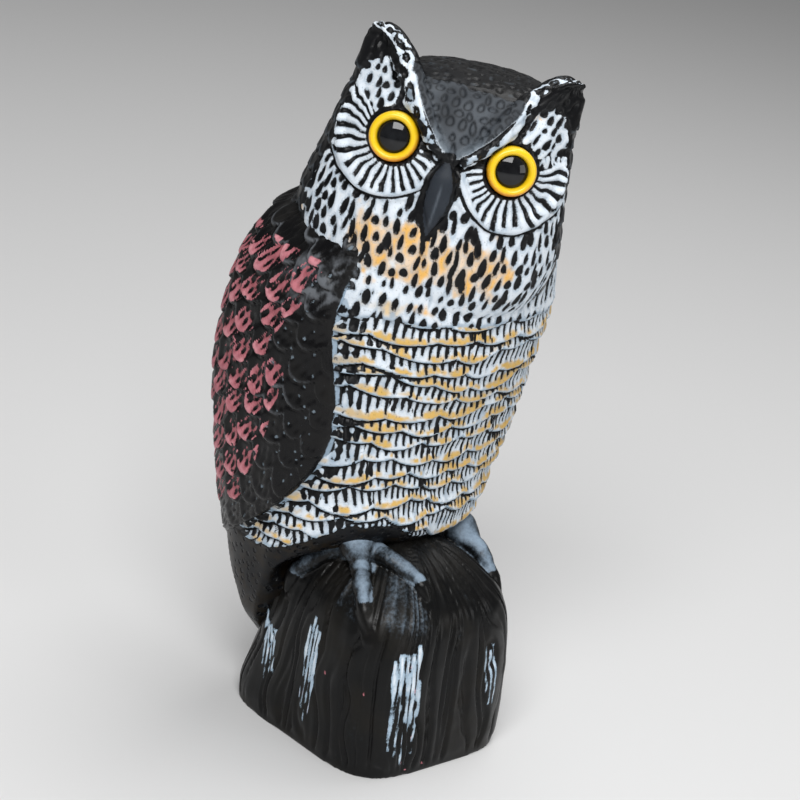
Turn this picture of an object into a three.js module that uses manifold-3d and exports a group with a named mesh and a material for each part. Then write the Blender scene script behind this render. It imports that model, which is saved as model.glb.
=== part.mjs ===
// Owl decoy: a great horned owl on a tree stump, moulded in one, with glossy eyes fitted afterwards.
// Millimetres, +Z up. The body faces -Y, the owl's left side is +X, and its head is turned to its
// right. The origin is the middle of the stump's flat underside.
import * as THREE from "three";
import { mergeVertices } from "three/addons/utils/BufferGeometryUtils.js";
import Module from "manifold-3d";

const wasm = await Module();
wasm.setup();

// Stump
const stumpWidth = 119;
const stumpDepth = 129;
const stumpEdgeHeight = 86;
const stumpCrownRise = 38;
const stumpSquareness = 4.4;
const grooveCount = 22;
const grooveDepth = 1.5;

// Owl, from the stump's crown up to the tips of its ear tufts. The tables and stops below are drawn
// for a figure 288 high and keep their proportions when owlHeight changes.
const owlHeight = 282;
const share = owlHeight / 288;

// Head
const headTurn = 45;
const headTilt = 7.3;

// Eyes
const eyeSpacing = 63;
const eyeRingDiameter = 26;
const pupilDiameter = 16.5;
const eyeRingProud = 4.2;
const pupilProud = 3.6;
const eyeSeatDepth = 4;
const fitGap = 0.3;

// Feather rows, from the breast's lower edge over the stump's crown up to the bib
const breastRise = 0;
const breastHeight = 137;
const breastRows = 14;
const rowStep = 1.5;
const rowLip = 1.7;
const rowUndercut = 0.9;
const scallopWidth = 26;
const scallopDrop = 2.4;
const featherWidth = 18.5;
const featherDrop = 5;
const wingThickness = 4.1;

const plastic = new THREE.MeshStandardMaterial({ color: 0x191b1f, roughness: 0.42, metalness: 0 });
const ringYellow = new THREE.MeshStandardMaterial({ color: 0xf2b90c, roughness: 0.32, metalness: 0 });
const pupilBlack = new THREE.MeshStandardMaterial({ color: 0x060606, roughness: 0.04, metalness: 0 });

const degrees = THREE.MathUtils.degToRad;
const ease = THREE.MathUtils.smoothstep;
const bump = (offset, width) => Math.exp(-((offset / width) ** 2));

// Height above the underside of a level drawn for the owl, whose stump is drawn 118 high, and the
// drawn level of a height over the stump's crown.
const stumpTop = stumpEdgeHeight + stumpCrownRise;
const level = (drawn) => stumpTop + (drawn - 118) * share;
const drawnLevel = (height) => 118 + height / share;

// A smooth curve through a table's column, read at a place along its first column.
function reader(table) {
  const count = table.length;
  return (place, column) => {
    let k = 0;
    while (k < count - 2 && place > table[k + 1][0]) k += 1;
    const at = (i) => table[Math.min(Math.max(i, 0), count - 1)];
    const [before, low, high, after] = [at(k - 1), at(k), at(k + 1), at(k + 2)];
    const span = high[0] - low[0];
    const t = THREE.MathUtils.clamp((place - low[0]) / span, 0, 1);
    const slope = (a, b) => ((b[column] - a[column]) / Math.max(b[0] - a[0], 1e-6)) * span;
    const [m0, m1] = [slope(before, high), slope(low, after)];
    const [p0, p1] = [low[column], high[column]];
    const [t2, t3] = [t * t, t * t * t];
    return (2 * t3 - 3 * t2 + 1) * p0 + (t3 - 2 * t2 + t) * m0
      + (3 * t2 - 2 * t3) * p1 + (t3 - t2) * m1;
  };
}

// Distance from a section's centre to its rounded outline, at an angle from the front.
function outline(angle, half, front, back, frontPower, backPower) {
  const across = Math.abs(Math.sin(angle));
  const along = Math.cos(angle);
  const depth = along > 0 ? front : back;
  const power = along > 0 ? frontPower : backPower;
  return ((across / half) ** power + (Math.abs(along) / depth) ** power) ** (-1 / power);
}

// A closed skin: a sphere's grid moved onto a form. place() gets the column, as an angle from the
// front that grows towards +X, and the ring, 0 at the top pole to 1 at the bottom pole.
function skin(columns, rings, place) {
  const grid = new THREE.SphereGeometry(1, columns, rings);
  const points = grid.attributes.position;
  for (let ring = 0; ring <= rings; ring += 1) {
    for (let column = 0; column <= columns; column += 1) {
      const pole = ring === 0 || ring === rings;
      const turn = pole ? 0 : (column % columns) / columns;
      const spot = place(turn * 2 * Math.PI - Math.PI, ring / rings);
      points.setXYZ(ring * (columns + 1) + column, spot.x, spot.y, spot.z);
    }
  }
  grid.deleteAttribute("normal");
  grid.deleteAttribute("uv");
  return mergeVertices(grid, 1e-4);
}

function toSolid(geometry) {
  const vertProperties = new Float32Array(geometry.attributes.position.array);
  const triVerts = new Uint32Array(geometry.index.array);
  return new wasm.Manifold(new wasm.Mesh({ numProp: 3, vertProperties, triVerts }));
}

function toGeometry(solid) {
  const mesh = solid.getMesh();
  const geometry = new THREE.BufferGeometry();
  geometry.setAttribute("position", new THREE.BufferAttribute(mesh.vertProperties, 3));
  geometry.setIndex(new THREE.BufferAttribute(mesh.triVerts, 1));
  return geometry;
}

// A limb: rings around a smooth curve, closed and rounded at both ends. Each stop is a point, with
// the half-width to the side and the half-thickness there.
function limb(stops, side, columns, rings) {
  const path = new THREE.CatmullRomCurve3(stops.map((stop) => stop.at));
  const gauge = (t, key) => {
    const place = t * (stops.length - 1);
    const k = Math.min(Math.floor(place), stops.length - 2);
    return THREE.MathUtils.lerp(stops[k][key], stops[k + 1][key], place - k);
  };
  return skin(columns, rings, (angle, ring) => {
    const t = (1 - Math.cos(ring * Math.PI)) / 2;
    const swell = Math.sin(ring * Math.PI) ** 0.5;
    const centre = path.getPoint(t);
    const up = path.getTangent(t).negate();
    const across = side.clone().addScaledVector(up, -side.dot(up)).normalize();
    const through = new THREE.Vector3().crossVectors(up, across);
    return centre
      .addScaledVector(across, Math.sin(angle) * gauge(t, "wide") * swell)
      .addScaledVector(through, -Math.cos(angle) * gauge(t, "thick") * swell);
  });
}

// Stump: share of the footprint, against height between the underside and the crown.
const stumpProfile = [
  [0, 0.99], [0.1, 1.01], [0.38, 1], [0.5, 0.98], [0.58, 0.96], [0.66, 0.93],
  [0.74, 0.87], [0.80, 0.77], [0.88, 0.60], [0.95, 0.36], [1, 0.02],
];
const stumpShare = reader(stumpProfile);

function stumpRadius(angle) {
  const [half, deep] = [stumpWidth / 2, stumpDepth / 2];
  return outline(angle, half, deep, deep, stumpSquareness, stumpSquareness);
}

function stumpPoint(angle, reach, height) {
  const radius = stumpRadius(angle) * reach;
  return new THREE.Vector3(Math.sin(angle) * radius, -Math.cos(angle) * radius, height);
}

// Height of the stump's top over a place on its plan.
function stumpSurface(x, y) {
  const angle = Math.atan2(x, -y);
  const reach = Math.hypot(x, y) / stumpRadius(angle);
  let [low, high] = [0.12, 1];
  for (let step = 0; step < 24; step += 1) {
    const middle = (low + high) / 2;
    if (stumpShare(middle, 1) > reach) low = middle;
    else high = middle;
  }
  return low * stumpTop;
}

function stumpSolid() {
  const [columns, rings, bottomRings] = [2 * grooveCount, 10, 1];
  const steps = rings - bottomRings - 1;
  return toSolid(skin(columns, rings, (angle, ring) => {
    const k = Math.round(ring * rings);
    if (k === 0) return new THREE.Vector3(0, 0, stumpTop);
    if (k === rings) return new THREE.Vector3(0, 0, 0);
    const climb = 1 - ((k - 1) / steps) ** 0.8;
    const rise = k > steps ? 0 : climb * 0.985;
    const bark = ease(rise, 0.02, 0.2) * (1 - ease(rise, 0.62, 0.95));
    const groove = grooveDepth * bark * (0.5 + 0.5 * Math.cos(grooveCount * angle));
    const rootCorner = bump(angle - degrees(-135), 0.55);
    const flare = rootCorner * (0.02 - 0.1 * ease(rise, 0.05, 0.4) * (1 - ease(rise, 0.7, 0.95)));
    const point = stumpPoint(angle, stumpShare(rise, 1) + flare, rise * stumpTop);
    const inward = new THREE.Vector3(-Math.sin(angle), Math.cos(angle), 0);
    return point.addScaledVector(inward, groove);
  }));
}

// Body sections: level, half-width, front, widest place and back along Y, squareness of the back.
const bodyTable = [
  [28, 42, 45, 52, 66, 3], [44, 55, 42, 50, 75, 3.2], [56, 60, 36, 46, 81, 3.4],
  [68, 64, 30, 40, 87, 3.6],
  [80, 66, 20, 36, 93, 3.6], [95, 69, 6, 33, 96, 3.6], [110, 72, -11, 31, 96, 3.6],
  [122, 74, -21, 30, 97, 3.6], [150, 80, -24, 30, 99, 3.6], [195, 85, -35, 30, 105, 3.6],
  [240, 87, -49, 28, 100, 3.5], [268, 86, -54, 24, 92, 3.4], [288, 80, -53, 20, 86, 3],
  [304, 70, -45, 16, 79, 2.6], [318, 50, -33, 12, 62, 2.2], [328, 30, -18, 10, 42, 2],
];
const bodyReader = reader(bodyTable);

function bodyBase(angle, drawn, lift) {
  const [half, front, middle, back, power] = [1, 2, 3, 4, 5].map((c) => bodyReader(drawn, c));
  const chestPower = 2 + 0.3 * bump(drawn - 172, 45);
  const reach = outline(angle, half, middle - front, back - middle, chestPower, power);
  const radius = reach * share + lift;
  const x = Math.sin(angle) * radius;
  const y = middle * share - Math.cos(angle) * radius;
  return new THREE.Vector3(x, y, level(drawn));
}

// Angle of the wing's front edge from the front. It sweeps back to the tail lower down.
function wingEdge(drawn) {
  const sweep = THREE.MathUtils.clamp((190 - drawn) / 135, 0, 1);
  return degrees(60 + 6 * ease(drawn, 200, 255) + 113 * sweep ** 1.9);
}

// Columns crowd on both sides of the wing's front edge, so that its step stays sharp.
function bodyAngle(angle, drawn) {
  const breastPart = 0.42;
  const turn = Math.abs(angle) / Math.PI;
  const edge = wingEdge(drawn);
  const bent = turn < breastPart
    ? edge * (turn / breastPart)
    : edge + (Math.PI - edge) * ((turn - breastPart) / (1 - breastPart));
  return Math.sign(angle) * bent;
}

function onWing(angle, drawn) {
  const past = Math.abs(angle) - wingEdge(drawn);
  return ease(past, 0.01, 0.1) * (1 - ease(drawn, 292, 306)) * ease(drawn, 52, 64);
}

// Lip of a feather row: scalloped, and staggered from row to row.
function lipDrop(angle, drawn, row) {
  const round = 80 * share;
  const wing = onWing(angle, drawn);
  const width = THREE.MathUtils.lerp(scallopWidth, featherWidth, wing);
  const drop = THREE.MathUtils.lerp(scallopDrop, featherDrop, wing);
  const phase = (round * angle * Math.PI) / width + row * 2.4;
  return drop * Math.abs(Math.sin(phase)) ** 0.7;
}

function bodySolid() {
  const columns = 36;
  const pitch = breastHeight / breastRows;
  const lines = [];
  for (const drawn of [322, 309]) lines.push({ drawn, lift: 0, row: 0 });
  for (const [row, drawn] of [[3, 296], [2, 283], [1, 270]]) {
    lines.push({ drawn, lift: rowLip, row, wingOnly: true });
    lines.push({ drawn: drawn - rowStep / share, lift: -rowUndercut, row, wingOnly: true });
  }
  for (let row = breastRows; row >= 0; row -= 1) {
    const height = breastRise + row * pitch;
    lines.push({ drawn: drawnLevel(height), lift: rowLip, row });
    lines.push({ drawn: drawnLevel(height - rowStep), lift: -rowUndercut, row });
  }
  for (const drawn of [101, 83, 66, 50, 36]) lines.push({ drawn, lift: 0, row: 0 });
  const rings = lines.length + 1;
  return toSolid(skin(columns, rings, (turn, ring) => {
    const k = Math.round(ring * rings);
    if (k === 0) return new THREE.Vector3(0, bodyReader(328, 3) * share, level(328));
    if (k === rings) return new THREE.Vector3(0, bodyReader(28, 3) * share, level(28));
    const { drawn, lift, row, wingOnly } = lines[k - 1];
    const angle = bodyAngle(turn, drawn);
    const wing = onWing(angle, drawn);
    const drop = lift === 0 ? 0 : lipDrop(angle, drawn, row);
    const feathered = wingOnly ? lift * wing : lift * (1 + wing * (row % 2 === 0 ? 0.35 : -0.6));
    return bodyBase(angle, drawn - drop / share, feathered + wingThickness * wing);
  }));
}

// Tail: a tongue of long feathers down the back of the stump.
function tailSolid() {
  const rest = stumpDepth / 2;
  const stop = (proud, drawn, wide, thick) => ({
    at: new THREE.Vector3(0, rest + proud * share, level(drawn)),
    wide: wide * share,
    thick: thick * share,
  });
  const stops = [stop(24, 112, 38, 16), stop(18, 84, 37, 15), stop(9, 54, 32, 12), stop(2, 20, 25, 8)];
  return toSolid(limb(stops, new THREE.Vector3(1, 0, 0), 12, 8));
}

// Head: its own frame, turned to the owl's right and tilted to its left. In this frame x is the
// owl's left, y the way it looks, reversed, and z up from the level of the eyes.
const headGroup = new THREE.Group();
headGroup.position.set(-3.4 * share, 3.4 * share, level(352));
const yaw = new THREE.Quaternion().setFromAxisAngle(new THREE.Vector3(0, 0, 1), degrees(-headTurn));
const roll = new THREE.Quaternion().setFromAxisAngle(new THREE.Vector3(0, 1, 0), degrees(headTilt));
headGroup.quaternion.multiplyQuaternions(yaw, roll);
headGroup.updateMatrixWorld(true);

// Head sections: height over the eyes, half-width, front, back.
const headTable = [
  [-92, 51, 55, 30], [-80, 64, 62, 42], [-66, 71.5, 64.5, 52], [-50, 73.5, 64, 58],
  [-37, 71.5, 62.5, 61], [-22, 68.5, 60.5, 63], [-7, 66, 59, 63], [8, 63.5, 56, 61],
  [20, 58, 49, 56], [29, 46, 37, 45], [34, 31, 24, 31], [36, 8, 6, 8],
];
const headReader = reader(headTable);

// The face sinks into a hollow between the eye and the root of the beak.
function faceRelief(x, z) {
  return -3.5 * bump(Math.abs(x) - 17, 9) * bump(z - 6, 9);
}

// The crown stays more level than the tilted face.
function crownLevelling(x, height) {
  return 0.11 * x * ease(height, 8, 30);
}

const headPower = 2.4;

function headPoint(angle, height, lift) {
  const [half, front, back] = [1, 2, 3].map((column) => headReader(height, column));
  const radius = outline(angle, half, front, back, headPower, 2.2) + lift;
  const [x, y] = [Math.sin(angle) * radius, -Math.cos(angle) * radius];
  return new THREE.Vector3(x, y, height + crownLevelling(x, height)).multiplyScalar(share);
}

// A place on the face, by its offset across and its height over the eyes.
function facePlace(x, height, lift) {
  const [half, front] = [1, 2].map((column) => headReader(height, column));
  const depth = front * (1 - (Math.abs(x) / half) ** headPower) ** (1 / headPower);
  return new THREE.Vector3(x, -depth - lift, height + crownLevelling(x, height));
}

function headSolid() {
  const heights = [
    34.5, 31, 26, 21, 16, 11, 6, 1, -4, -9, -14, -19, -24, -30, -37, -45, -54, -63, -73, -84,
  ];
  const rings = heights.length + 1;
  return toSolid(skin(34, rings, (turn, ring) => {
    const k = Math.round(ring * rings);
    if (k === 0) return new THREE.Vector3(0, 0, 36 * share);
    if (k === rings) return new THREE.Vector3(0, 0, -92 * share);
    const angle = turn - 0.42 * Math.sin(turn);
    const height = heights[k - 1];
    const flat = headPoint(angle, height, 0).divideScalar(share);
    const facing = Math.abs(angle) < Math.PI / 2 ? Math.cos(angle) ** 0.5 : 0;
    const crown = 1 - ease(height, 27, 34);
    return headPoint(angle, height, faceRelief(flat.x, flat.z) * facing * crown);
  }).applyMatrix4(headGroup.matrixWorld));
}

function headStop(side, x, y, z, wide, thick) {
  const at = new THREE.Vector3(side * x, y, z).multiplyScalar(share);
  return { at, wide: wide * share, thick: thick * share };
}

function faceStop(side, x, height, lift, wide, thick) {
  const at = facePlace(side * x, height, lift).multiplyScalar(share);
  return { at, wide: wide * share, thick: thick * share };
}

// Facial disc: its lower rim stands over the throat as a crescent around the eye.
function discSolid(side) {
  const [turns, width, height] = [7, 4.6, 3];
  const reach = 0.88 * (headReader(0, 1) - eyeSpacing / share / 2);
  const stops = [];
  for (let step = 0; step <= turns; step += 1) {
    const turn = degrees(-158 + (step / turns) * 166);
    const across = eyeSpacing / share / 2 + reach * Math.cos(turn);
    stops.push(faceStop(side, across, reach * Math.sin(turn), 0.2, height, width));
  }
  return toSolid(limb(stops, new THREE.Vector3(0, -1, 0), 6, 10));
}

// Brow: a ridge from the root of the beak, over the eye and up the inner edge of the ear tuft.
function browSolid(side) {
  const stops = [
    faceStop(side, 0, -5, 0, 4, 5), faceStop(side, 9, 3, 1, 5, 5.4),
    faceStop(side, 19, 14, 2, 5.6, 6), faceStop(side, 27, 24, 1, 6, 7),
    headStop(side, 35, -28, 32, 7, 8), headStop(side, 46, -13, 40, 7, 8),
    headStop(side, 59, -4, 45, 6, 6),
  ];
  return toSolid(limb(stops, new THREE.Vector3(0, -1, 0), 8, 10));
}

// Ear tuft: a broad lobe at the head's upper corner, hollowed towards the front.
function tuftSolid(side) {
  const stops = [
    headStop(side, 40, 0, 2, 21, 27), headStop(side, 44, -1, 19, 19, 23),
    headStop(side, 49, -2, 32, 15.5, 18), headStop(side, 56, -2, 45, 11, 11),
  ];
  const scoopStops = [
    headStop(side, 54, -29, 10, 7, 9), headStop(side, 58, -22, 25, 8, 12),
    headStop(side, 61, -14, 38, 6, 9),
  ];
  const horn = toSolid(limb(stops, new THREE.Vector3(1, 0, 0), 12, 8));
  const scoop = toSolid(limb(scoopStops, new THREE.Vector3(1, 0, 0), 8, 6));
  return horn.subtract(scoop).add(browSolid(side));
}

function beakSolid() {
  const stops = [
    { at: new THREE.Vector3(0, -54, -4), wide: 5, thick: 6 },
    { at: new THREE.Vector3(0, -59, -13), wide: 9, thick: 8 },
    { at: new THREE.Vector3(0, -62.5, -27), wide: 7.6, thick: 6.4 },
    { at: new THREE.Vector3(0, -63, -41), wide: 2.4, thick: 2.6 },
  ];
  for (const stop of stops) {
    stop.at.multiplyScalar(share);
    stop.wide *= share;
    stop.thick *= share;
  }
  return toSolid(limb(stops, new THREE.Vector3(1, 0, 0), 10, 8));
}

// Feet: a broad palm under the breast, three toes over the stump's edge and a claw on each. The left
// foot is turned out over the stump's side. Places on the plan are shares of the stump's half-width
// and half-depth, so a foot keeps its grip.
const feet = [
  {
    side: -1,
    raise: 0,
    heel: [0.66, 0.1],
    palm: [0.65, -0.1],
    ball: [0.68, -0.32],
    toes: [
      { knuckle: [0.8, 0.26], tip: [0.94, 0.34] },
      { knuckle: [0.8, -0.48], tip: [0.87, -0.67] },
      { knuckle: [0.4, -0.62], tip: [0.27, -0.74] },
    ],
  },
  {
    side: 1,
    raise: 5,
    heel: [0.72, 0],
    palm: [0.79, -0.14],
    ball: [0.8, -0.3],
    toes: [
      { knuckle: [0.8, 0.3], tip: [0.93, 0.44] },
      { knuckle: [0.87, 0.02], tip: [0.96, 0.04] },
      { knuckle: [0.82, -0.45], tip: [0.87, -0.62] },
    ],
  },
];

function footSolid(foot) {
  const gauge = 8.2 * share;
  const over = ([across, along], lift) => {
    const [x, y] = [(across * stumpWidth) / 2, (along * stumpDepth) / 2];
    return new THREE.Vector3(foot.side * x, y, stumpSurface(x, y) + lift * share);
  };
  const stand = [[foot.heel, 12], [foot.palm, 2], [foot.ball, 2]];
  const [heel, palm, ball] = stand.map(([place, lift]) => over(place, lift + foot.raise));
  const across = new THREE.Vector3(foot.side, 0, 0);
  const ankle = [
    { at: heel, wide: 1.9 * gauge, thick: 1.6 * gauge },
    { at: palm, wide: 2.2 * gauge, thick: 1.3 * gauge },
    { at: ball, wide: 1.6 * gauge, thick: gauge },
  ];
  let solid = toSolid(limb(ankle, across, 10, 7));
  for (const toe of foot.toes) {
    const [knuckle, tip] = [over(toe.knuckle, 0.6 * foot.raise), over(toe.tip, -1)];
    const bend = palm.clone().lerp(knuckle, 0.5);
    bend.z += 3.5 * share;
    const run = knuckle.clone().sub(palm);
    const beside = new THREE.Vector3(-run.y, run.x, 0).normalize();
    const digit = [
      { at: palm, wide: 1.4 * gauge, thick: gauge },
      { at: bend, wide: 1.2 * gauge, thick: 1.05 * gauge },
      { at: knuckle, wide: gauge, thick: 0.95 * gauge },
    ];
    const root = knuckle.clone().addScaledVector(run, -0.08);
    const claw = [
      { at: root, wide: 0.8 * gauge, thick: 0.8 * gauge },
      { at: knuckle.clone().lerp(tip, 0.5), wide: 0.7 * gauge, thick: 0.7 * gauge },
      { at: tip, wide: 0.3 * gauge, thick: 0.3 * gauge },
    ];
    solid = solid.add(toSolid(limb(digit, beside, 8, 6)));
    solid = solid.add(toSolid(limb(claw, beside, 7, 4)));
  }
  return solid;
}

// Eyes: each faces a little outwards and up. The frame's z axis is the eye's outward axis.
const eyeSides = [{ name: "right", side: -1 }, { name: "left", side: 1 }];

function eyeGroup(side) {
  const group = new THREE.Group();
  group.position.set((side * eyeSpacing) / 2, -52.5 * share, 0);
  const outward = new THREE.Vector3(side * Math.sin(degrees(9)), -1, Math.sin(degrees(7)));
  group.quaternion.setFromUnitVectors(new THREE.Vector3(0, 0, 1), outward.normalize());
  return group;
}

function turned(profile, segments) {
  const outlinePoints = profile.map(([r, z]) => new THREE.Vector2(r, z));
  const lathe = new THREE.LatheGeometry(outlinePoints, segments).rotateX(Math.PI / 2);
  lathe.deleteAttribute("normal");
  lathe.deleteAttribute("uv");
  return mergeVertices(lathe, 1e-4);
}

// Each profile runs anticlockwise from its back, in radius and height.
function ringGeometry() {
  const [inner, outer] = [pupilDiameter / 2 + fitGap, eyeRingDiameter / 2];
  const [middle, half] = [(inner + outer) / 2, (outer - inner) / 2];
  const profile = [[inner, -eyeSeatDepth], [outer, -eyeSeatDepth]];
  for (let step = 0; step <= 5; step += 1) {
    const turn = (step / 5) * Math.PI;
    profile.push([middle + half * Math.cos(turn), eyeRingProud * Math.sin(turn) ** 0.8]);
  }
  profile.push([inner, -eyeSeatDepth]);
  return turned(profile, 18);
}

function pupilGeometry() {
  const radius = pupilDiameter / 2;
  const rimHeight = 1.4;
  const profile = [[0, -eyeSeatDepth], [radius, -eyeSeatDepth]];
  for (let step = 0; step <= 4; step += 1) {
    const turn = ((step / 4) * Math.PI) / 2;
    const rise = rimHeight + (pupilProud - rimHeight) * Math.sin(turn);
    profile.push([step === 4 ? 0 : radius * Math.cos(turn), rise]);
  }
  return turned(profile, 14);
}

function socketSolid(group) {
  const depth = eyeSeatDepth + fitGap;
  const reach = 30;
  const radius = eyeRingDiameter / 2 + fitGap;
  const geometry = turned([[0, -depth], [radius, -depth], [radius, reach], [0, reach]], 22);
  group.updateMatrixWorld(true);
  return toSolid(geometry.applyMatrix4(group.matrixWorld));
}

const owl = new THREE.Group();
owl.add(headGroup);

let body = stumpSolid().add(bodySolid()).add(tailSolid()).add(headSolid());
let headForm = beakSolid();
for (const side of [-1, 1]) headForm = headForm.add(discSolid(side)).add(tuftSolid(side));
const placed = toGeometry(headForm).applyMatrix4(headGroup.matrixWorld);
body = body.add(toSolid(placed));
for (const foot of feet) body = body.add(footSolid(foot));

for (const { name, side } of eyeSides) {
  const eye = eyeGroup(side);
  headGroup.add(eye);
  body = body.subtract(socketSolid(eye));
  const ring = new THREE.Mesh(ringGeometry(), ringYellow.clone());
  ring.name = `eye_ring_${name}`;
  const pupil = new THREE.Mesh(pupilGeometry(), pupilBlack.clone());
  pupil.name = `pupil_${name}`;
  eye.add(ring, pupil);
}

const owlBody = new THREE.Mesh(toGeometry(body), plastic);
owlBody.name = "owl_body";
owl.add(owlBody);

export default owl;
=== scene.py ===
import math

import bmesh
import bpy
import numpy as np
from mathutils import Matrix, Vector


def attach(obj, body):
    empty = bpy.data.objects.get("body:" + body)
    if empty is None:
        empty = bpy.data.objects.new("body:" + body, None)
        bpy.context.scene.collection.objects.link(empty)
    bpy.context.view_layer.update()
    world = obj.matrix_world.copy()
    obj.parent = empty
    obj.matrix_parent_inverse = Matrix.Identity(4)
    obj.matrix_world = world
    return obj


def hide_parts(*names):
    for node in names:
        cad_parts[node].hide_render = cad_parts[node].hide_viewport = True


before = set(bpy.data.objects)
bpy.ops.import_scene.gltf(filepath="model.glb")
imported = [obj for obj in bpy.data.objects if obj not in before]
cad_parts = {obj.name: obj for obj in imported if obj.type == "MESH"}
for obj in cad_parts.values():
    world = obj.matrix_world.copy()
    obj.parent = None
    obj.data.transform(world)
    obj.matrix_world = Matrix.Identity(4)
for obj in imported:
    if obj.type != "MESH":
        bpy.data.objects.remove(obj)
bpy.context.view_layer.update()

# The moulding's own sizes, in millimetres, as the solids have them
MM = 0.001
STUMP_WIDTH = 119.0
STUMP_DEPTH = 129.0
STUMP_TOP = 124.0
STUMP_SQUARENESS = 4.4
SHARE = 282.0 / 288.0
HEAD_TURN = math.radians(45)
HEAD_TILT = math.radians(7.3)
EYE_SPACING = 63.0
RING_DIAMETER = 26.0
RING_PROUD = 4.2
PUPIL_DIAMETER = 16.5
PUPIL_PROUD = 3.6
SEAT_DEPTH = 4.0
FIT_GAP = 0.3
BREAST_HEIGHT = 137.0
BREAST_ROWS = 14
WING_THICKNESS = 4.1
# Millimetres of surface to a radian round the body, and round the head and the stump
BODY_ARC = 76.0
ROUND_ARC = 66.0
TOOTH_GAP = 4.8
HEAD_VOXEL = 1.02 * MM
STUMP_VOXEL = 1.06 * MM

# Pits, each kind by its spacing across and down, and its half-width and half-height
COAT_PITS = (6.5, 7.9, 1.8, 4.2)
THROAT_PITS = (7.4, 10.8, 2.1, 5.6)
TUFT_PITS = (6.2, 6.6, 1.7, 2.8)
CROWN_OVALS = (6.6, 8.6, 2.0, 3.7)
CROWN_KNOTS = (7.0, 6.0, 1.6, 1.7)
WING_DOTS = (8.5, 8.0, 0.75, 0.9)
PINK_SPECKS = (17.0, 15.0, 0.55, 0.8)

# Feathers, each kind by its spacing down and across, how far its sides drop back, and its unevenness
HEAD_FEATHERS = (10.0, 12.0, 6.0, 2.0)
BREAST_FEATHERS = (BREAST_HEIGHT / BREAST_ROWS, 30.0, 4.6, 7.0)
WING_FEATHERS = (15.6, 17.0, 10.0, 5.0)
TAIL_FEATHERS = (30.0, 15.0, 9.0, 6.0)


def level(drawn):
    return STUMP_TOP + (drawn - 118.0) * SHARE


def ease(value, low, high):
    t = np.clip((value - low) / (high - low), 0.0, 1.0)
    return t * t * (3.0 - 2.0 * t)


def fade(value, low, high):
    return 1.0 - ease(value, low, high)


def bump(offset, width):
    return np.exp(-(np.asarray(offset) / width) ** 2)


def mix(low, high, share):
    return low + (high - low) * share


def read(table, place, column):
    """A smooth curve through a table's column, read at places along its first column."""
    table = np.asarray(table, float)
    last = len(table) - 1
    place = np.asarray(place, float)
    k = np.clip(np.searchsorted(table[:, 0], place, side="left") - 1, 0, last - 1)
    before, low, high, after = (table[np.clip(k + step, 0, last)] for step in (-1, 0, 1, 2))
    span = high[..., 0] - low[..., 0]
    t = np.clip((place - low[..., 0]) / span, 0.0, 1.0)

    def slope(a, b):
        return (b[..., column] - a[..., column]) / np.maximum(b[..., 0] - a[..., 0], 1e-6) * span

    m0, m1 = slope(before, high), slope(low, after)
    p0, p1 = low[..., column], high[..., column]
    t2, t3 = t * t, t * t * t
    return ((2 * t3 - 3 * t2 + 1) * p0 + (t3 - 2 * t2 + t) * m0
            + (3 * t2 - 2 * t3) * p1 + (t3 - t2) * m1)


def outline(angle, half, front, back, front_power, back_power):
    across, along = np.abs(np.sin(angle)), np.cos(angle)
    depth = np.where(along > 0, front, back)
    power = np.where(along > 0, front_power, back_power)
    return ((across / half) ** power + (np.abs(along) / depth) ** power) ** (-1.0 / power)


# Noise with a fixed seed: a hashed lattice, smoothly filled between
def lattice(cells, seed):
    cells = cells.astype(np.int64)
    n = cells[..., 0] * 374761393 + cells[..., 1] * 668265263
    n = n + cells[..., 2] * 2147483647 + seed * 974634777
    n = (n ^ (n >> 13)) * 1274126177
    n = n ^ (n >> 16)
    return (n & 0xFFFFFF) / float(0xFFFFFF)


def noise(points, size, seed=0):
    """Smooth noise from -1 to 1 over points, with lumps of about a size."""
    places = np.asarray(points, float) / size
    base = np.floor(places)
    t = places - base
    t = t * t * (3.0 - 2.0 * t)
    total = 0.0
    for dx in (0, 1):
        for dy in (0, 1):
            for dz in (0, 1):
                weight = 1.0
                for axis, d in enumerate((dx, dy, dz)):
                    weight = weight * (t[..., axis] if d else 1.0 - t[..., axis])
                total = total + weight * lattice(base + np.array((dx, dy, dz)), seed)
    return 2.0 * total - 1.0


def hashed(a, b, seed):
    """A fixed random number from 0 to 1 for each pair of whole numbers."""
    cells = np.stack([np.asarray(a), np.asarray(b), np.zeros_like(np.asarray(a))], axis=-1)
    return lattice(cells, seed)


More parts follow.
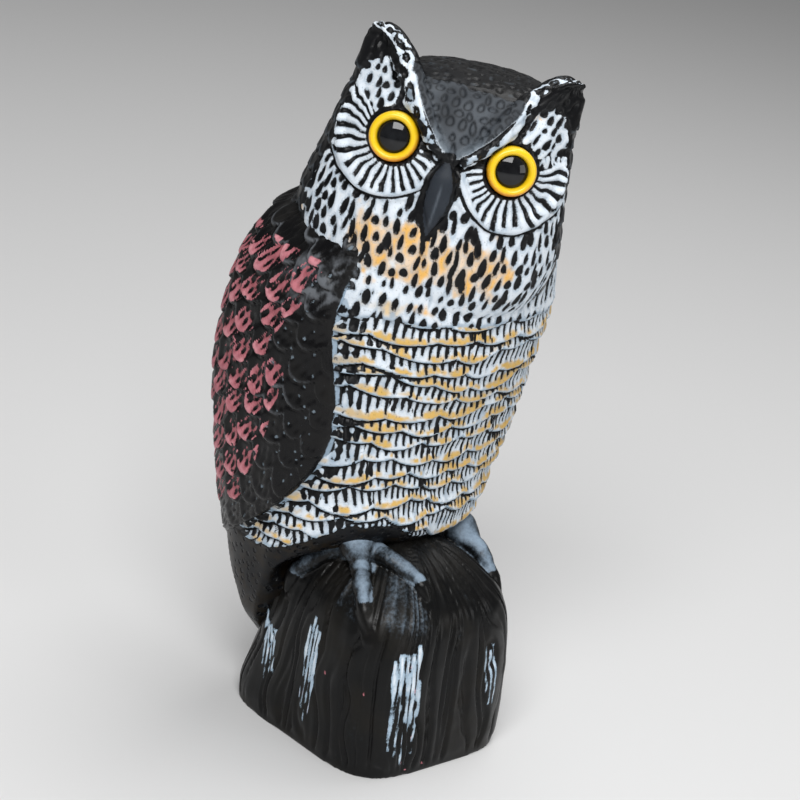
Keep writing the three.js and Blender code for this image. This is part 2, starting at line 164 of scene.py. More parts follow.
# Patterns, in millimetres over a surface
def feathers(along, beside, kind, seed, power=2.0):
    """Rows of feathers that overlap downwards. Gives, for each point, its height over the edge of the
    feather it's on, its depth under the edge of the feather over it, its offset from that feather's
    middle, the feather's own random number, and its height over the feather's lowest point."""
    pitch, width, drop, jitter = kind
    shape = np.shape(along)
    first = np.floor(along / pitch).astype(int)
    owner_edge, owner_off, owner_id = np.full(shape, -99.0), np.zeros(shape), np.zeros(shape)
    cover_edge = np.full(shape, -pitch)
    found = np.zeros(shape, bool)
    last_edge = np.full(shape, -pitch)
    for step in range(-2, 5):
        row = first + step
        stagger = 0.5 * (row % 2) + 0.15 * hashed(row, row * 0, seed + 7)
        edge, off, mark = np.full(shape, -99.0), np.zeros(shape), np.zeros(shape)
        for near in (-1, 0, 1):
            number = np.floor(beside / width - stagger).astype(int) + near
            nudge = hashed(row, number, seed) - 0.5
            middle = (number + 0.5 + stagger + 0.24 * nudge) * width
            tip = row * pitch + jitter * (hashed(row, number, seed + 1) - 0.5)
            offset = beside - middle
            here = tip - along - drop * np.abs(offset / (0.6 * width)) ** power
            better = here > edge
            edge = np.where(better, here, edge)
            off = np.where(better, offset, off)
            mark = np.where(better, hashed(row, number, seed + 2), mark)
        new = (edge > 0) & ~found
        owner_edge = np.where(new, edge, owner_edge)
        owner_off = np.where(new, off, owner_off)
        owner_id = np.where(new, mark, owner_id)
        cover_edge = np.where(new, last_edge, cover_edge)
        found |= new
        last_edge = edge
    above = owner_edge + drop * np.abs(owner_off / (0.6 * width)) ** power
    return owner_edge, np.clip(-cover_edge, 0, 2 * pitch), owner_off, owner_id, above


def pits(beside, up, kind, seed, jitter, slant=0.0):
    """Staggered oval pits: how far inside the nearest pit's edge each point is, and that pit's number."""
    pitch, row_pitch, wide, tall = kind
    row0 = np.floor(up / row_pitch).astype(int)
    best = np.full(np.shape(up), -9.0)
    mark = np.zeros(np.shape(up))
    for drow in (-1, 0, 1):
        row = row0 + drow
        shift = 0.5 * (row % 2)
        column0 = np.floor(beside / pitch - shift).astype(int)
        for dcolumn in (-1, 0, 1):
            column = column0 + dcolumn
            jx, jy, jw, jh = (hashed(row, column, seed + k) - 0.5 for k in range(4))
            middle = (column + 0.5 + shift + jitter * jx) * pitch
            height = (row + 0.5 + jitter * jy) * row_pitch
            du, dv = beside - middle, up - height
            du = du - slant * dv - 0.3 * jx * dv
            half_wide, half_tall = wide * (1 + 0.7 * jw), tall * (1 + 0.8 * jh)
            narrow = 1 - 0.25 * np.clip(dv / half_tall, -1, 1)
            here = (1 - np.hypot(du / (half_wide * narrow), dv / half_tall)) * half_wide
            better = here > best
            best = np.where(better, here, best)
            mark = np.where(better, hashed(row, column, seed + 5), mark)
    return best, mark


def nearest_spot(points, line):
    """Distance from each point to a line of spots, and which of them is nearest."""
    best, which = np.full(len(points), 1e9), np.zeros(len(points), int)
    for k, spot in enumerate(line):
        distance = np.linalg.norm(points - spot, axis=1)
        which = np.where(distance < best, k, which)
        best = np.minimum(distance, best)
    return best, which


def near_curve(points, stops, count=60):
    """Distance from each point to a curve, and the share of its run that's nearest."""
    best, which = nearest_spot(points, curve_point(stops, np.linspace(0, 1, count)))
    return best, which / (count - 1)


def beside_curve(points, stops, outward, count=80):
    """Each point's offset to the side of a curve seen along its outward direction, the share of the curve's
    run that's nearest, and the distance to it."""
    shares = np.linspace(0, 1, count)
    line = curve_point(stops, shares)
    best, which = nearest_spot(points, line)
    ahead = np.vstack([line[1:], line[-1:]]) - np.vstack([line[:1], line[:-1]])
    sideways = np.cross(ahead, [outward(share) for share in shares])
    sideways /= np.linalg.norm(sideways, axis=1, keepdims=True)
    offset = np.sum((points - line[which]) * sideways[which], axis=1)
    return offset, which / (count - 1), best


def lay(colours, colour, amount):
    """Lays a colour over colours by an amount at each point."""
    amount = np.clip(amount, 0, 1)[:, None]
    return colours * (1 - amount) + np.array(colour) * amount


def all_over(colour, points):
    return np.tile(colour, (len(points), 1))


def uneven(colour, points, size, seed, base, depth):
    """A colour at every point, made a little uneven by noise."""
    return all_over(colour, points) * (base + depth * noise(points, size, seed))[:, None]


class Coat:
    """A surface's relief, its paint's tint, and how far inside the paint's edge each point is."""

    def __init__(self, relief, tint, edge):
        self.relief, self.tint, self.edge = relief, tint, edge

    def cover(self, amount, relief=None, tint=None, edge=None):
        """Puts other values in place of its own, by an amount at each point."""
        if relief is not None:
            self.relief = mix(self.relief, relief, amount)
        if tint is not None:
            self.tint = lay(self.tint, tint, amount)
        if edge is not None:
            self.edge = mix(self.edge, edge, amount)

    def add_marks(self, marks, colour):
        """Adds painted marks, given how far inside them each point is."""
        self.tint = np.where((marks > self.edge)[:, None], np.array(colour), self.tint)
        self.edge = np.maximum(self.edge, marks)


def placed(points, place):
    place = np.array(place)
    return points @ place[:3, :3].T + place[:3, 3]


def keep_finish(piece, points, coat, brush):
    """Moves the surface to its points, in millimetres, and keeps what the paint follows."""
    set_points(piece, points * MM)
    set_colour(piece, "paint_tint", coat.tint)
    set_field(piece, "paint_edge", coat.edge)
    # The brush amount holds dry-brushed paint and painted highlights alike
    set_field(piece, "dry_brush_and_highlight", brush)


# Paints, as linear colours, with the colours of some painted highlights and painted shade among them
WHITE = (0.78, 0.84, 0.90)
BLUE_GREY = (0.30, 0.39, 0.48)
PALE_BLUE = (0.38, 0.50, 0.61)
OCHRE = (0.70, 0.43, 0.095)
BIB_OCHRE = (0.86, 0.47, 0.10)
PINK = (0.58, 0.20, 0.235)
SLATE = (0.075, 0.085, 0.098)
BEAK_SLATE = (0.016, 0.020, 0.027)
OVAL_GREY = (0.17, 0.20, 0.23)
CROWN_SHADE = (0.035, 0.04, 0.047)
CROWN_LINE = (0.012, 0.014, 0.017)
# Painted highlight along the lower ridge of the crown's grey V
CROWN_RIDGE_HIGHLIGHT = (0.19, 0.225, 0.26)
BEAK_LIGHT = (0.034, 0.041, 0.052)
# Painted highlight down the beak's ridge
BEAK_RIDGE_HIGHLIGHT = (0.085, 0.10, 0.12)
# Painted shade and painted highlight on the pink feather tips
PINK_PAINTED_SHADE = (0.36, 0.10, 0.115)
PINK_TIP_HIGHLIGHT = (0.78, 0.35, 0.39)
PIT_PINK = (0.24, 0.05, 0.06)
# Painted highlight: glints on the pits of the wing's front strip
GLINT_GREY = (0.16, 0.20, 0.235)


# Making of meshes
def sphere_grid(columns, rings):
    """A sphere's grid in bmesh, with each vertex's turn (-1 to 1 from the back) and ring (0 to 1)."""
    bm = bmesh.new()
    bmesh.ops.create_uvsphere(bm, u_segments=columns, v_segments=rings, radius=1.0)
    spots = np.array([vertex.co[:] for vertex in bm.verts])
    turn = np.arctan2(spots[:, 0], -spots[:, 1]) / math.pi
    ring = np.arccos(np.clip(spots[:, 2], -1, 1)) / math.pi
    return bm, turn, ring


def move_vertices(bm, points):
    for vertex, point in zip(bm.verts, points):
        vertex.co = point


def as_mesh(name, bm):
    bmesh.ops.recalc_face_normals(bm, faces=bm.faces)
    mesh = bpy.data.meshes.new(name)
    bm.to_mesh(mesh)
    bm.free()
    return mesh


def new_piece(name, bm):
    piece = bpy.data.objects.new(name, as_mesh(name, bm))
    bpy.context.scene.collection.objects.link(piece)
    return piece


def read_vectors(piece, what):
    flat = np.empty(len(piece.data.vertices) * 3, np.float32)
    piece.data.vertices.foreach_get(what, flat)
    return flat.reshape(-1, 3).astype(float)


def surface_of(piece):
    """A piece's points, in millimetres, and the directions in which its surface faces."""
    return read_vectors(piece, "co") / MM, read_vectors(piece, "normal")


def set_points(piece, points):
    piece.data.vertices.foreach_set("co", points.astype(np.float32).ravel())
    piece.data.update()


def set_field(piece, name, values):
    attribute = piece.data.attributes.new(name, "FLOAT", "POINT")
    attribute.data.foreach_set("value", np.asarray(values, np.float32).ravel())


def set_colour(piece, name, colours):
    attribute = piece.data.attributes.new(name, "FLOAT_COLOR", "POINT")
    full = np.ones((len(colours), 4), np.float32)
    full[:, :3] = colours
    attribute.data.foreach_set("color", full.ravel())


def shade_smooth(piece):
    piece.data.polygons.foreach_set("use_smooth", [True] * len(piece.data.polygons))
    piece.data.update()


def apply_modifier(piece, kind, **settings):
    modifier = piece.modifiers.new("step", kind)
    for key, value in settings.items():
        setattr(modifier, key, value)
    bpy.context.view_layer.objects.active = piece
    with bpy.context.temp_override(object=piece, active_object=piece, selected_objects=[piece]):
        bpy.ops.object.modifier_apply(modifier="step")


def curve_point(stops, t):
    """Centripetal curve through stops, read at shares of its whole run."""
    stops = np.asarray(stops, float)
    last = len(stops) - 1
    padded = np.vstack([2 * stops[0] - stops[1], stops, 2 * stops[last] - stops[last - 1]])
    place = np.clip(t, 0, 1) * last
    k = np.clip(np.floor(place).astype(int), 0, last - 1)
    w = (place - k)[:, None]
    p0, p1, p2, p3 = (padded[k + step] for step in range(4))
    d0, d1, d2 = (np.maximum(np.sum((b - a) ** 2, axis=1), 1e-8)[:, None] ** 0.25
                  for a, b in ((p0, p1), (p1, p2), (p2, p3)))
    t1 = ((p1 - p0) / d0 - (p2 - p0) / (d0 + d1) + (p2 - p1) / d1) * d1
    t2 = ((p2 - p1) / d1 - (p3 - p1) / (d1 + d2) + (p3 - p2) / d2) * d1
    return (p1 + t1 * w + (-3 * p1 + 3 * p2 - 2 * t1 - t2) * w ** 2
            + (2 * p1 - 2 * p2 + t1 + t2) * w ** 3)


def limb(bm_all, stops, side, columns=28, rings=30):
    """Rings around a smooth curve, rounded at both ends. A stop is (place, half-width, half-thickness)."""
    bm, turn, ring = sphere_grid(columns, rings)
    places = [stop[0] for stop in stops]
    t = (1 - np.cos(ring * math.pi)) / 2
    swell = np.sin(ring * math.pi) ** 0.5
    step = 1e-3
    centre = curve_point(places, t)
    tangent = curve_point(places, np.minimum(t + step, 1)) - curve_point(places, np.maximum(t - step, 0))
    up = -tangent / np.linalg.norm(tangent, axis=1, keepdims=True)
    side = np.asarray(side, float)
    across = side - up * (up @ side)[:, None]
    across /= np.linalg.norm(across, axis=1, keepdims=True)
    through = np.cross(up, across)
    spots = np.linspace(0, 1, len(stops))
    wide = np.interp(t, spots, [stop[1] for stop in stops]) * swell
    thick = np.interp(t, spots, [stop[2] for stop in stops]) * swell
    angle = turn * math.pi
    points = centre + across * (np.sin(angle) * wide)[:, None] - through * (np.cos(angle) * thick)[:, None]
    move_vertices(bm, points)
    return add_form(bm_all, bm)


def add_form(bm_all, bm):
    """Adds one closed form to the ones that are joined later."""
    mesh = as_mesh("form", bm)
    bm_all.from_mesh(mesh)
    bpy.data.meshes.remove(mesh)


def join_forms(name, bm_all, voxel, smoothing):
    """Joins overlapping forms to one closed skin of even small faces, with their joints softened."""
    piece = new_piece(name, bm_all)
    piece.data.remesh_voxel_size = voxel
    apply_modifier(piece, "REMESH", mode="VOXEL", voxel_size=voxel, adaptivity=0.0)
    apply_modifier(piece, "SMOOTH", factor=0.5, iterations=smoothing)
    return piece


# The head's own frame
head_place = Matrix.Translation(Vector((-3.4 * SHARE, 3.4 * SHARE, level(352))))
head_place = head_place @ Matrix.Rotation(-HEAD_TURN, 4, "Z") @ Matrix.Rotation(HEAD_TILT, 4, "Y")
head_turn = np.array(head_place.to_3x3())
head_centre = np.array(head_place.translation)


def to_head(points):
    """Points of the whole, in the head's frame and in the sizes it's drawn at."""
    return (points - head_centre) @ head_turn / SHARE


def from_head(points):
    return (points * SHARE) @ head_turn.T + head_centre


HEAD_TABLE = [
    [-92, 51, 55, 30], [-80, 64, 62, 42], [-66, 71.5, 64.5, 52], [-50, 73.5, 64, 58],
    [-37, 71.5, 62.5, 61], [-22, 68.5, 60.5, 63], [-7, 66, 59, 63], [8, 63.5, 56, 61],
    [20, 58, 49, 56], [29, 46, 37, 45], [34, 31, 24, 31], [36, 8, 6, 8],
]
HEAD_POWER = 2.4
EYE_ACROSS = EYE_SPACING / SHARE / 2
# The discs: the rim's distance from the eye, where the ribs start, and the turn from one rib to the next
DISC_RIM = 33.0
RIB_START = 14.5
RIB_TURN = math.radians(11.6)
SOCKET_REACH = 12.0


def crown_levelling(x, height):
    return 0.11 * x * ease(height, 8, 30)


def face_place(x, height, lift):
    half, front = (read(HEAD_TABLE, height, column) for column in (1, 2))
    depth = front * (1 - (abs(x) / half) ** HEAD_POWER) ** (1 / HEAD_POWER)
    return (x, -depth - lift, height + crown_levelling(x, height))


def head_form(bm_all):
    bm, turn, ring = sphere_grid(144, 120)
    heights = [36, 34.5, 31, 26, 21, 16, 11, 6, 1, -4, -9, -14, -19, -24, -30, -37, -45, -54, -63, -73,
               -84, -92]
    height = np.interp(ring, np.linspace(0, 1, len(heights)), heights)
    half, front, back = (read(HEAD_TABLE, height, column) for column in (1, 2, 3))
    angle = turn * math.pi
    radius = outline(angle, half, front, back, HEAD_POWER, 2.2)
    x, y = np.sin(angle) * radius, -np.cos(angle) * radius
    z = height + crown_levelling(x, height)
    pole = (ring < 1e-4) | (ring > 1 - 1e-4)
    facing = np.sqrt(np.clip(np.cos(angle), 0, 1)) * fade(height, 27, 34)
    relief = -3.5 * bump(np.abs(x) - 17, 9) * bump(z - 6, 9) * facing
    x, y = np.sin(angle) * (radius + relief), -np.cos(angle) * (radius + relief)
    x[pole] = y[pole] = 0
    move_vertices(bm, np.stack([x, y, z], axis=1))
    add_form(bm_all, bm)


def face_form(bm_all):
    """The discs, brows, tufts and beak, each a limb on the head."""
    reach = 0.88 * (float(read(HEAD_TABLE, 0, 1)) - EYE_ACROSS)
    for side in (-1, 1):
        turns = [math.radians(-158 + step / 7 * 166) for step in range(8)]
        rim = [(side * (EYE_ACROSS + reach * math.cos(turn)), reach * math.sin(turn)) for turn in turns]
        disc = [(face_place(x, height, 0.2), 3, 4.6) for x, height in rim]
        limb(bm_all, disc, (0, -1, 0), 20, 60)
        brow = [(face_place(side * x, height, lift), wide, thick) for x, height, lift, wide, thick in
                ((0, -5, 0, 4, 5), (9, 3, 1, 5, 5.4), (19, 14, 2, 5.6, 6), (27, 24, 1, 6, 7))]
        brow += [((side * x, y, z), wide, thick) for x, y, z, wide, thick in
                 ((35, -28, 32, 7, 8), (46, -13, 40, 7, 8), (59, -4, 45, 6, 6))]
        limb(bm_all, brow, (0, -1, 0), 24, 50)
        tuft = [((side * x, y, z), wide, thick) for x, y, z, wide, thick in
                ((40, 0, 2, 21, 27), (44, -1, 19, 19, 23), (49, -2, 32, 15.5, 18), (56, -2, 45, 11, 11))]
        limb(bm_all, tuft, (1, 0, 0), 40, 36)
    beak = [((0, -54, -4), 5, 6), ((0, -59, -13), 9, 8),
            ((0, -62.5, -27), 7.6, 6.4), ((0, -63, -41), 2.4, 2.6)]
    limb(bm_all, beak, (1, 0, 0), 32, 30)


BROW_STOPS = [(0, -59.5, -5), (9, -60.5, 3), (19, -57, 14), (27, -45, 24), (35, -28, 32), (46, -13, 40),
              (59, -4, 45)]
# The beak: how far it stands aside, and its half-width at places down its run
BEAK_ASIDE = 1.4
BEAK_DOWN = [2, 5, 9, 14, 20, 27, 34, 40, 44]
BEAK_HALF = [0.6, 2.2, 4.4, 6.0, 6.5, 5.9, 4.3, 1.9, 0.0]
# The painted brow: shares of its run with its shift towards the eye and its half-width, right then left,
# and its outlined ovals, each (side, share, half-length, half-width)
BROW_RUN = 102.0
BROW_SHIFT = [([0, 0.15, 0.3, 0.5, 0.6, 0.75, 1], [0, 1, 3, 3.5, 0, -1, -1]),
              ([0, 0.15, 0.3, 0.45, 0.55, 0.7, 0.85, 1], [0, 1.5, 4, 3.5, 0, -4.5, -4.5, -3])]
BROW_HALF = [([0.08, 0.2, 0.3, 0.38, 0.5, 0.57, 0.6, 0.66, 0.8, 0.95, 1],
              [1.5, 2.4, 3.2, 3.6, 4.8, 3.0, 1.0, 4.2, 4.6, 4.0, 3.5]),
             ([0.08, 0.2, 0.35, 0.45, 0.55, 0.62, 0.7, 0.85, 1],
              [1.2, 1.6, 1.8, 2.6, 2.6, 3.2, 3.6, 3.4, 3.0])]
BROW_OVALS = [(-1, 0.29, 1.8, 1.1), (-1, 0.39, 2.7, 1.7), (-1, 0.50, 4.2, 2.5), (-1, 0.68, 2.4, 1.6),
              (-1, 0.78, 2.8, 1.7), (-1, 0.88, 2.2, 1.5), (-1, 0.96, 2.4, 1.6), (1, 0.56, 2.0, 1.1),
              (1, 0.70, 2.4, 1.5), (1, 0.80, 2.6, 1.6), (1, 0.90, 2.2, 1.4), (1, 0.97, 1.8, 1.3)]
# The hollow in the front of each tuft
SCOOP_STOPS = [(54, -29, 10), (58, -22, 25), (61, -14, 38)]
SCOOP_DEPTH = 3.0
# Where the white coat ends on the right of the head: heights, and degrees from its middle
COAT_HEIGHT = [-9, 2, 7, 13, 22, 28, 36]
COAT_TURN = [67, 68, 70, 76, 77, 75, 67]
BROW_ACROSS, BROW_UP = [0, 9, 19, 27, 35, 46, 59], [-5, 3, 14, 24, 32, 40, 45]


def make_head():
    bm_all = bmesh.new()
    head_form(bm_all)
    face_form(bm_all)
    spots = np.array([vertex.co[:] for vertex in bm_all.verts])
    move_vertices(bm_all, from_head(spots) * MM)
    piece = join_forms("owl_head", bm_all, HEAD_VOXEL, 2)
    head_finish(piece)
    return piece


def pitted_coat(face, psi, seed=11):
    """The pitted white coat of the throat and the head's sides: relief, tint and paint edge."""
    x, y, z = face.T
    around = psi * ROUND_ARC
    low = ease(-z, 74, 84)
    pit, _ = pits(around, z, COAT_PITS, seed, 0.5)
    long_pit, _ = pits(around + 3, z + 2, THROAT_PITS, seed + 20, 0.5)
    pit = np.maximum(pit - 2.0 * low, long_pit - 4.0 * (1 - low))
    tuft_pit, _ = pits(x, 0.94 * z + 0.34 * y, TUFT_PITS, seed + 40, 0.5, 0.3 * (x > 0))
    pit = np.where(z > 9 + 2 * noise(face, 9.0, 9), tuft_pit, pit)
    warp = noise(face, 9.0, 3)
    relief = -1.15 * ease(pit, -0.5, 0.9) + 0.25 * warp
    tint = uneven(WHITE, face, 5.0, 4, 0.94, 0.06)
    window = ease(psi, -0.70, -0.5) * fade(psi, 0.62, 0.85)
    ochre = bump(z + 55, 15) * window * 1.25 + 0.55 * noise(face, 7.0, 5) + 0.25 * noise(face, 2.5, 6) - 0.35
    low_ochre = bump(z + 87, 7) * ease(-psi, -0.15, 0.1) * fade(-psi, 0.35, 0.5)
    low_ochre = 0.8 * low_ochre + 0.5 * noise(face, 5.0, 7) - 0.35
    streak = ease(noise(face * np.array((1, 1, 0.45)), 4.0, 12), -0.5, 0.5)
    tint = lay(tint, BIB_OCHRE, ease(ochre, 0.0, 0.45) * (0.52 + 0.45 * streak))
    tint = lay(tint, OCHRE, ease(low_ochre, 0.05, 0.5) * 0.7)
    tint = lay(tint, BLUE_GREY, bump(pit + 0.25, 0.45) * 0.55)
    tint = lay(tint, BLUE_GREY, ease(noise(face, 6.0, 8), 0.45, 0.8) * low * 0.8)
    return relief, tint, -pit


class FacePlaces:
    """The head's points in its own frame, and how each lies on the face."""

    def __init__(self, points, normals):
        self.face = to_head(points)
        self.x, self.y, self.z = self.face.T
        self.side, self.wide = np.sign(self.x), np.abs(self.x)
        self.psi = np.arctan2(self.x, -self.y)
        self.degrees = np.abs(np.degrees(self.psi))
        turned = normals @ head_turn
        self.facing, self.upward = -turned[:, 1], turned[:, 2]
        self.mirrored = np.stack([self.wide, self.y, self.z], axis=1)
        self.from_eye = np.hypot(self.wide - EYE_ACROSS, self.z)


def lay_discs(coat, at):
    """Facial discs: ribs that run out from the eye to a raised rim."""
    face, radius = at.face, at.from_eye
    turn = np.arctan2(at.wide - EYE_ACROSS, -at.z)
    left = (at.side > 0).astype(int)
    rim = DISC_RIM + 5.2 * np.sin(turn) + 1.1 * noise(face, 10.0, 27)
    phase = turn / RIB_TURN + (0.24 * noise(face, 6.5, 21) + 0.5 * noise(face, 30.0, 22)) + 0.5 * left
    number = np.floor(phase).astype(int)
    groove = radius * RIB_TURN * (0.215 - np.abs(phase - number - 0.5))
    groove = groove * (0.7 + 0.7 * hashed(number, left, 23))
    outer = ease(turn, math.radians(76), math.radians(94))
    end = rim - 3.8 + 4.4 * (hashed(number, left, 24) - 0.5) + 9.0 * outer
    groove = np.minimum(np.minimum(groove, (radius - RIB_START) * 0.6), (end - radius) * 0.6)
    last_rib = np.radians(np.where(at.side < 0, 120.0, 102.0))
    ribbed = ease(at.facing, 0.05, 0.3) * ease(last_rib - np.abs(turn - 0.05), -0.05, 0.1)
    tint = lay(uneven(WHITE, face, 3.0, 25, 0.96, 0.04), BLUE_GREY, bump(groove + 0.2, 0.4) * 0.5)
    in_disc = ribbed * fade(radius - rim - 8.0 * outer, -0.8, 0.6)
    coat.cover(in_disc, -1.2 * ease(groove, -0.6, 0.7) + 0.5, tint, -groove)
    below = ease(math.radians(92) - np.abs(turn), 0, 0.25) * ribbed
    line = bump(radius - rim, 1.25) * below * (0.8 + 0.45 * noise(face, 7.0, 28))
    coat.relief = coat.relief - 1.3 * line + 0.7 * bump(radius - rim + 2.4, 1.3) * below
    coat.edge = np.where(line > 0.02, np.minimum(coat.edge, 1.1 - 2.6 * line), coat.edge)
    shade = bump(radius - rim + 2.2, 1.5) * below * (0.35 + 0.5 * noise(face, 5.0, 26))
    coat.cover(shade, tint=BLUE_GREY)


def coat_limit(at):
    """Where the white coat ends on each side of the head, in degrees from its middle."""
    broad = noise(at.face, 17.0, 30)
    right = np.interp(at.z, COAT_HEIGHT, COAT_TURN) + 3.0 * broad
    limit = np.where(at.side > 0, 74.0 + 7.0 * broad, right)
    return limit + 3.0 * noise(at.face, 8.0, 31) + 2.5 * noise(at.face, 3.0, 32)


def end_coat(coat, at, limit):
    """Ends the white coat at the head's sides, its back and the inside of the tufts."""
    top = np.where(at.side > 0, 31.0, 38.0) + 2.0 * noise(at.face, 5.0, 33)
    bound = np.minimum((limit - at.degrees) * 0.9, (top - at.z) * 0.8)
    inside = (at.facing + np.where(at.side > 0, -0.12, 0.2)) * 14
    bound = mix(bound, np.minimum(bound, inside), ease(at.z, 14, 24))
    coat.edge = np.minimum(coat.edge, bound)


def lay_brows(coat, at):
    """Brows with a chain of outlined ovals, and black beside them. Gives how far each point is on a brow."""
    face = at.face
    lateral, run, brow = beside_curve(at.mirrored, BROW_STOPS, lambda t: (0.25, -1.0, 0.25 + 0.9 * t))
    near_brow = fade(brow, 12, 13) * ease(at.facing + 0.7 * at.upward, 0.0, 0.2)
    shift, half = (np.where(at.side < 0, np.interp(run, *right), np.interp(run, *left))
                   for right, left in (BROW_SHIFT, BROW_HALF))
    lateral = lateral - shift
    ragged = 0.7 * noise(face, 5.0, 44) + 0.4 * noise(face, 2.2, 45)
    on_brow = near_brow * fade(np.abs(lateral) - half + ragged, -0.5, 0.5) * ease(run, 0.05, 0.1)
    oval = np.full(len(face), -9.0)
    for where, share, long, across in BROW_OVALS:
        here = (1 - np.hypot((run - share) * BROW_RUN / long, (lateral - 0.25 * across) / across)) * across
        oval = np.where(at.side == where, np.maximum(oval, here), oval)
    speckle = 0.8 * noise(face, 2.6, 42) + 0.5 * noise(face, 5.0, 43)
    faint = fade(run, 0.30, 0.42)
    edge = np.minimum(np.abs(oval - 0.25) - 0.75 + 0.30 * speckle, 1.2)
    edge = edge - 2.0 * faint * ease(speckle, -0.7, 0.2)
    edge = edge - 1.6 * ease(run, 0.5, 0.62) * ease(speckle, 0.1, 0.6)
    tint = lay(all_over(WHITE, face), OVAL_GREY, ease(oval, 0.3, 0.9) * 0.95)
    tint = lay(tint, BLUE_GREY, 0.25 + 0.5 * speckle + 0.7 * faint)
    coat.cover(on_brow, tint=tint, edge=edge)
    gutter = near_brow * bump(np.abs(lateral) - half - 2.2, 2.0) * ease(run, 0.02, 0.08)
    coat.relief = coat.relief - 0.6 * on_brow * bump(oval - 0.25, 0.7) - gutter
    coat.edge = np.where(gutter > 0.25, np.minimum(coat.edge, 0.8 - 2.2 * gutter), coat.edge)
    return on_brow


def lay_crown(coat, at, on_brow):
    """Crown: a grey V between the brows with darker ovals and a painted highlight along its lower ridge,
    black over it. Gives how far points are on the black."""
    over_brow = (at.z - np.interp(at.wide, BROW_ACROSS, BROW_UP)) * 0.7
    between = ease(over_brow, 1.2, 2.6) * (1 - on_brow)
    rise = at.z + 0.8 * (at.y + 59)
    top = 54.5 - 0.15 * at.x + 3.0 * noise(at.face, 6.0, 51)
    grey = between * ease(top - rise, -1.2, 1.2) * ease(at.facing, -0.3, -0.1)
    black = between * ease(rise - top, -1.0, 1.0)
    pit, _ = pits(at.x + 3, rise, CROWN_OVALS, 52, 0.3)
    ring = bump(pit - 0.2, 0.6)
    tint = lay(all_over(SLATE, at.face), CROWN_SHADE, 0.5 + 0.8 * noise(at.face, 9.0, 53))
    tint = lay(tint, CROWN_LINE, ring * 0.95)
    # Painted highlight: a paler band along the V's rounded lower ridge, just over the brows
    tint = lay(tint, CROWN_RIDGE_HIGHLIGHT, bump(over_brow - 2.6, 2.0) * ease(16 - at.wide, 0, 5) * 0.75)
    knots, _ = pits(at.x * 0.9, at.y, CROWN_KNOTS, 54, 0.6)
    coat.cover(black, relief=-0.6 * ease(knots, -0.5, 0.6) + 0.35 * noise(at.face, 4.0, 55))
    coat.cover(grey, relief=-0.9 * ease(pit, -0.4, 0.7), edge=1.5 - 0.2 * ring)
    coat.cover(1.2 * (grey + black), tint=tint)
    coat.cover(black * (1 - grey), edge=-2.0)
    return black


def lay_beak(coat, at):
    """Beak, with a painted highlight down its ridge, and black in the corners by the eyes."""
    x, z = at.x, at.z
    from_beak = np.abs(x + BEAK_ASIDE) - np.interp(-z, BEAK_DOWN, BEAK_HALF)
    at_beak = fade(from_beak, -0.3, 0.5) * ease(at.facing, -0.4, 0.1)
    at_beak = at_beak * ease(z + 44.5, 0, 1.5) * fade(z, -5, -2)
    corner = fade(from_beak - 2.6, -0.8, 0.8) * fade(z, 0, 3)
    corner = corner * ease(z + 47, 0, 2) * ease(at.facing, -0.2, 0.1)
    coat.cover(corner * (1 - at_beak), relief=-0.7)
    coat.cover(at_beak, relief=0.35 * noise(at.face, 9.0, 62))
    coat.cover(corner, edge=-1.5)
    # Painted highlight: a paler line down the beak's ridge
    ridge = bump(x + 0.8 - 0.02 * z, 0.6) * ease(-z, 12, 20) * fade(-z, 34, 42)
    tint = lay(all_over(BEAK_SLATE, at.face), BEAK_LIGHT, 0.35 + 0.7 * noise(at.face, 8.0, 61))
    tint = lay(tint, BEAK_RIDGE_HIGHLIGHT, ridge)
    coat.edge = np.where(corner > 0.5, np.minimum(coat.edge, -0.8), coat.edge)
    coat.edge = np.where(at_beak > 0.5, 2.0, coat.edge)
    coat.tint = np.where(((at_beak > 0.02) | (corner > 0.4))[:, None], tint, coat.tint)


def lay_back_feathers(coat, at, limit):
    """Small feathers round the head's sides and its back, left black. Gives how much is brushed on them."""
    tip, under, _, _, _ = feathers(-at.z, at.psi * ROUND_ARC, HEAD_FEATHERS, 71)
    behind = ease(at.degrees - limit, -2, 4) * fade(at.z, 22, 34)
    coat.cover(behind, relief=0.9 * bump(tip - 0.5, 3.2) - 0.5 * bump(under, 1.0))
    return 0.55 * behind * bump(tip - 1.0, 1.6)


def sink_sockets(points):
    """Sinks the points behind each eye a little deeper than its seat."""
    for side in (1, -1):
        place = eye_place(side)
        local = placed(points, np.linalg.inv(np.array(place)))
        inside = np.hypot(local[:, 0], local[:, 1]) < RING_DIAMETER / 2 + FIT_GAP
        inside &= np.abs(local[:, 2]) < SOCKET_REACH
        local[inside, 2] = -SEAT_DEPTH - FIT_GAP
        points[inside] = placed(local, place)[inside]
    return points


def head_finish(piece):
    points, normals = surface_of(piece)
    at = FacePlaces(points, normals)
    coat = Coat(*pitted_coat(at.face, at.psi))
    lay_discs(coat, at)
    limit = coat_limit(at)
    end_coat(coat, at, limit)
    scoop, _ = near_curve(at.mirrored, SCOOP_STOPS, 24)
    coat.relief = coat.relief - SCOOP_DEPTH * bump(scoop, 9.0) * ease(at.facing, -0.1, 0.3)
    black = lay_crown(coat, at, lay_brows(coat, at))
    lay_beak(coat, at)
    # Painted shadow: a band round each eye ring is sunk a little and left unpainted black, standing in for
    # the shadow of the raised ring
    eye_ring_painted_shadow = ease(15.4 - at.from_eye, 0, 1.2) * ease(at.facing, 0.1, 0.3)
    coat.cover(eye_ring_painted_shadow, relief=-0.6, edge=-1.5)
    brush = lay_back_feathers(coat, at, limit)
    brush = np.maximum(brush, 0.35 * black * ease(noise(at.face, 3.0, 72), 0.1, 0.7))
    keep_finish(piece, sink_sockets(points + normals * coat.relief[:, None]), coat, brush)


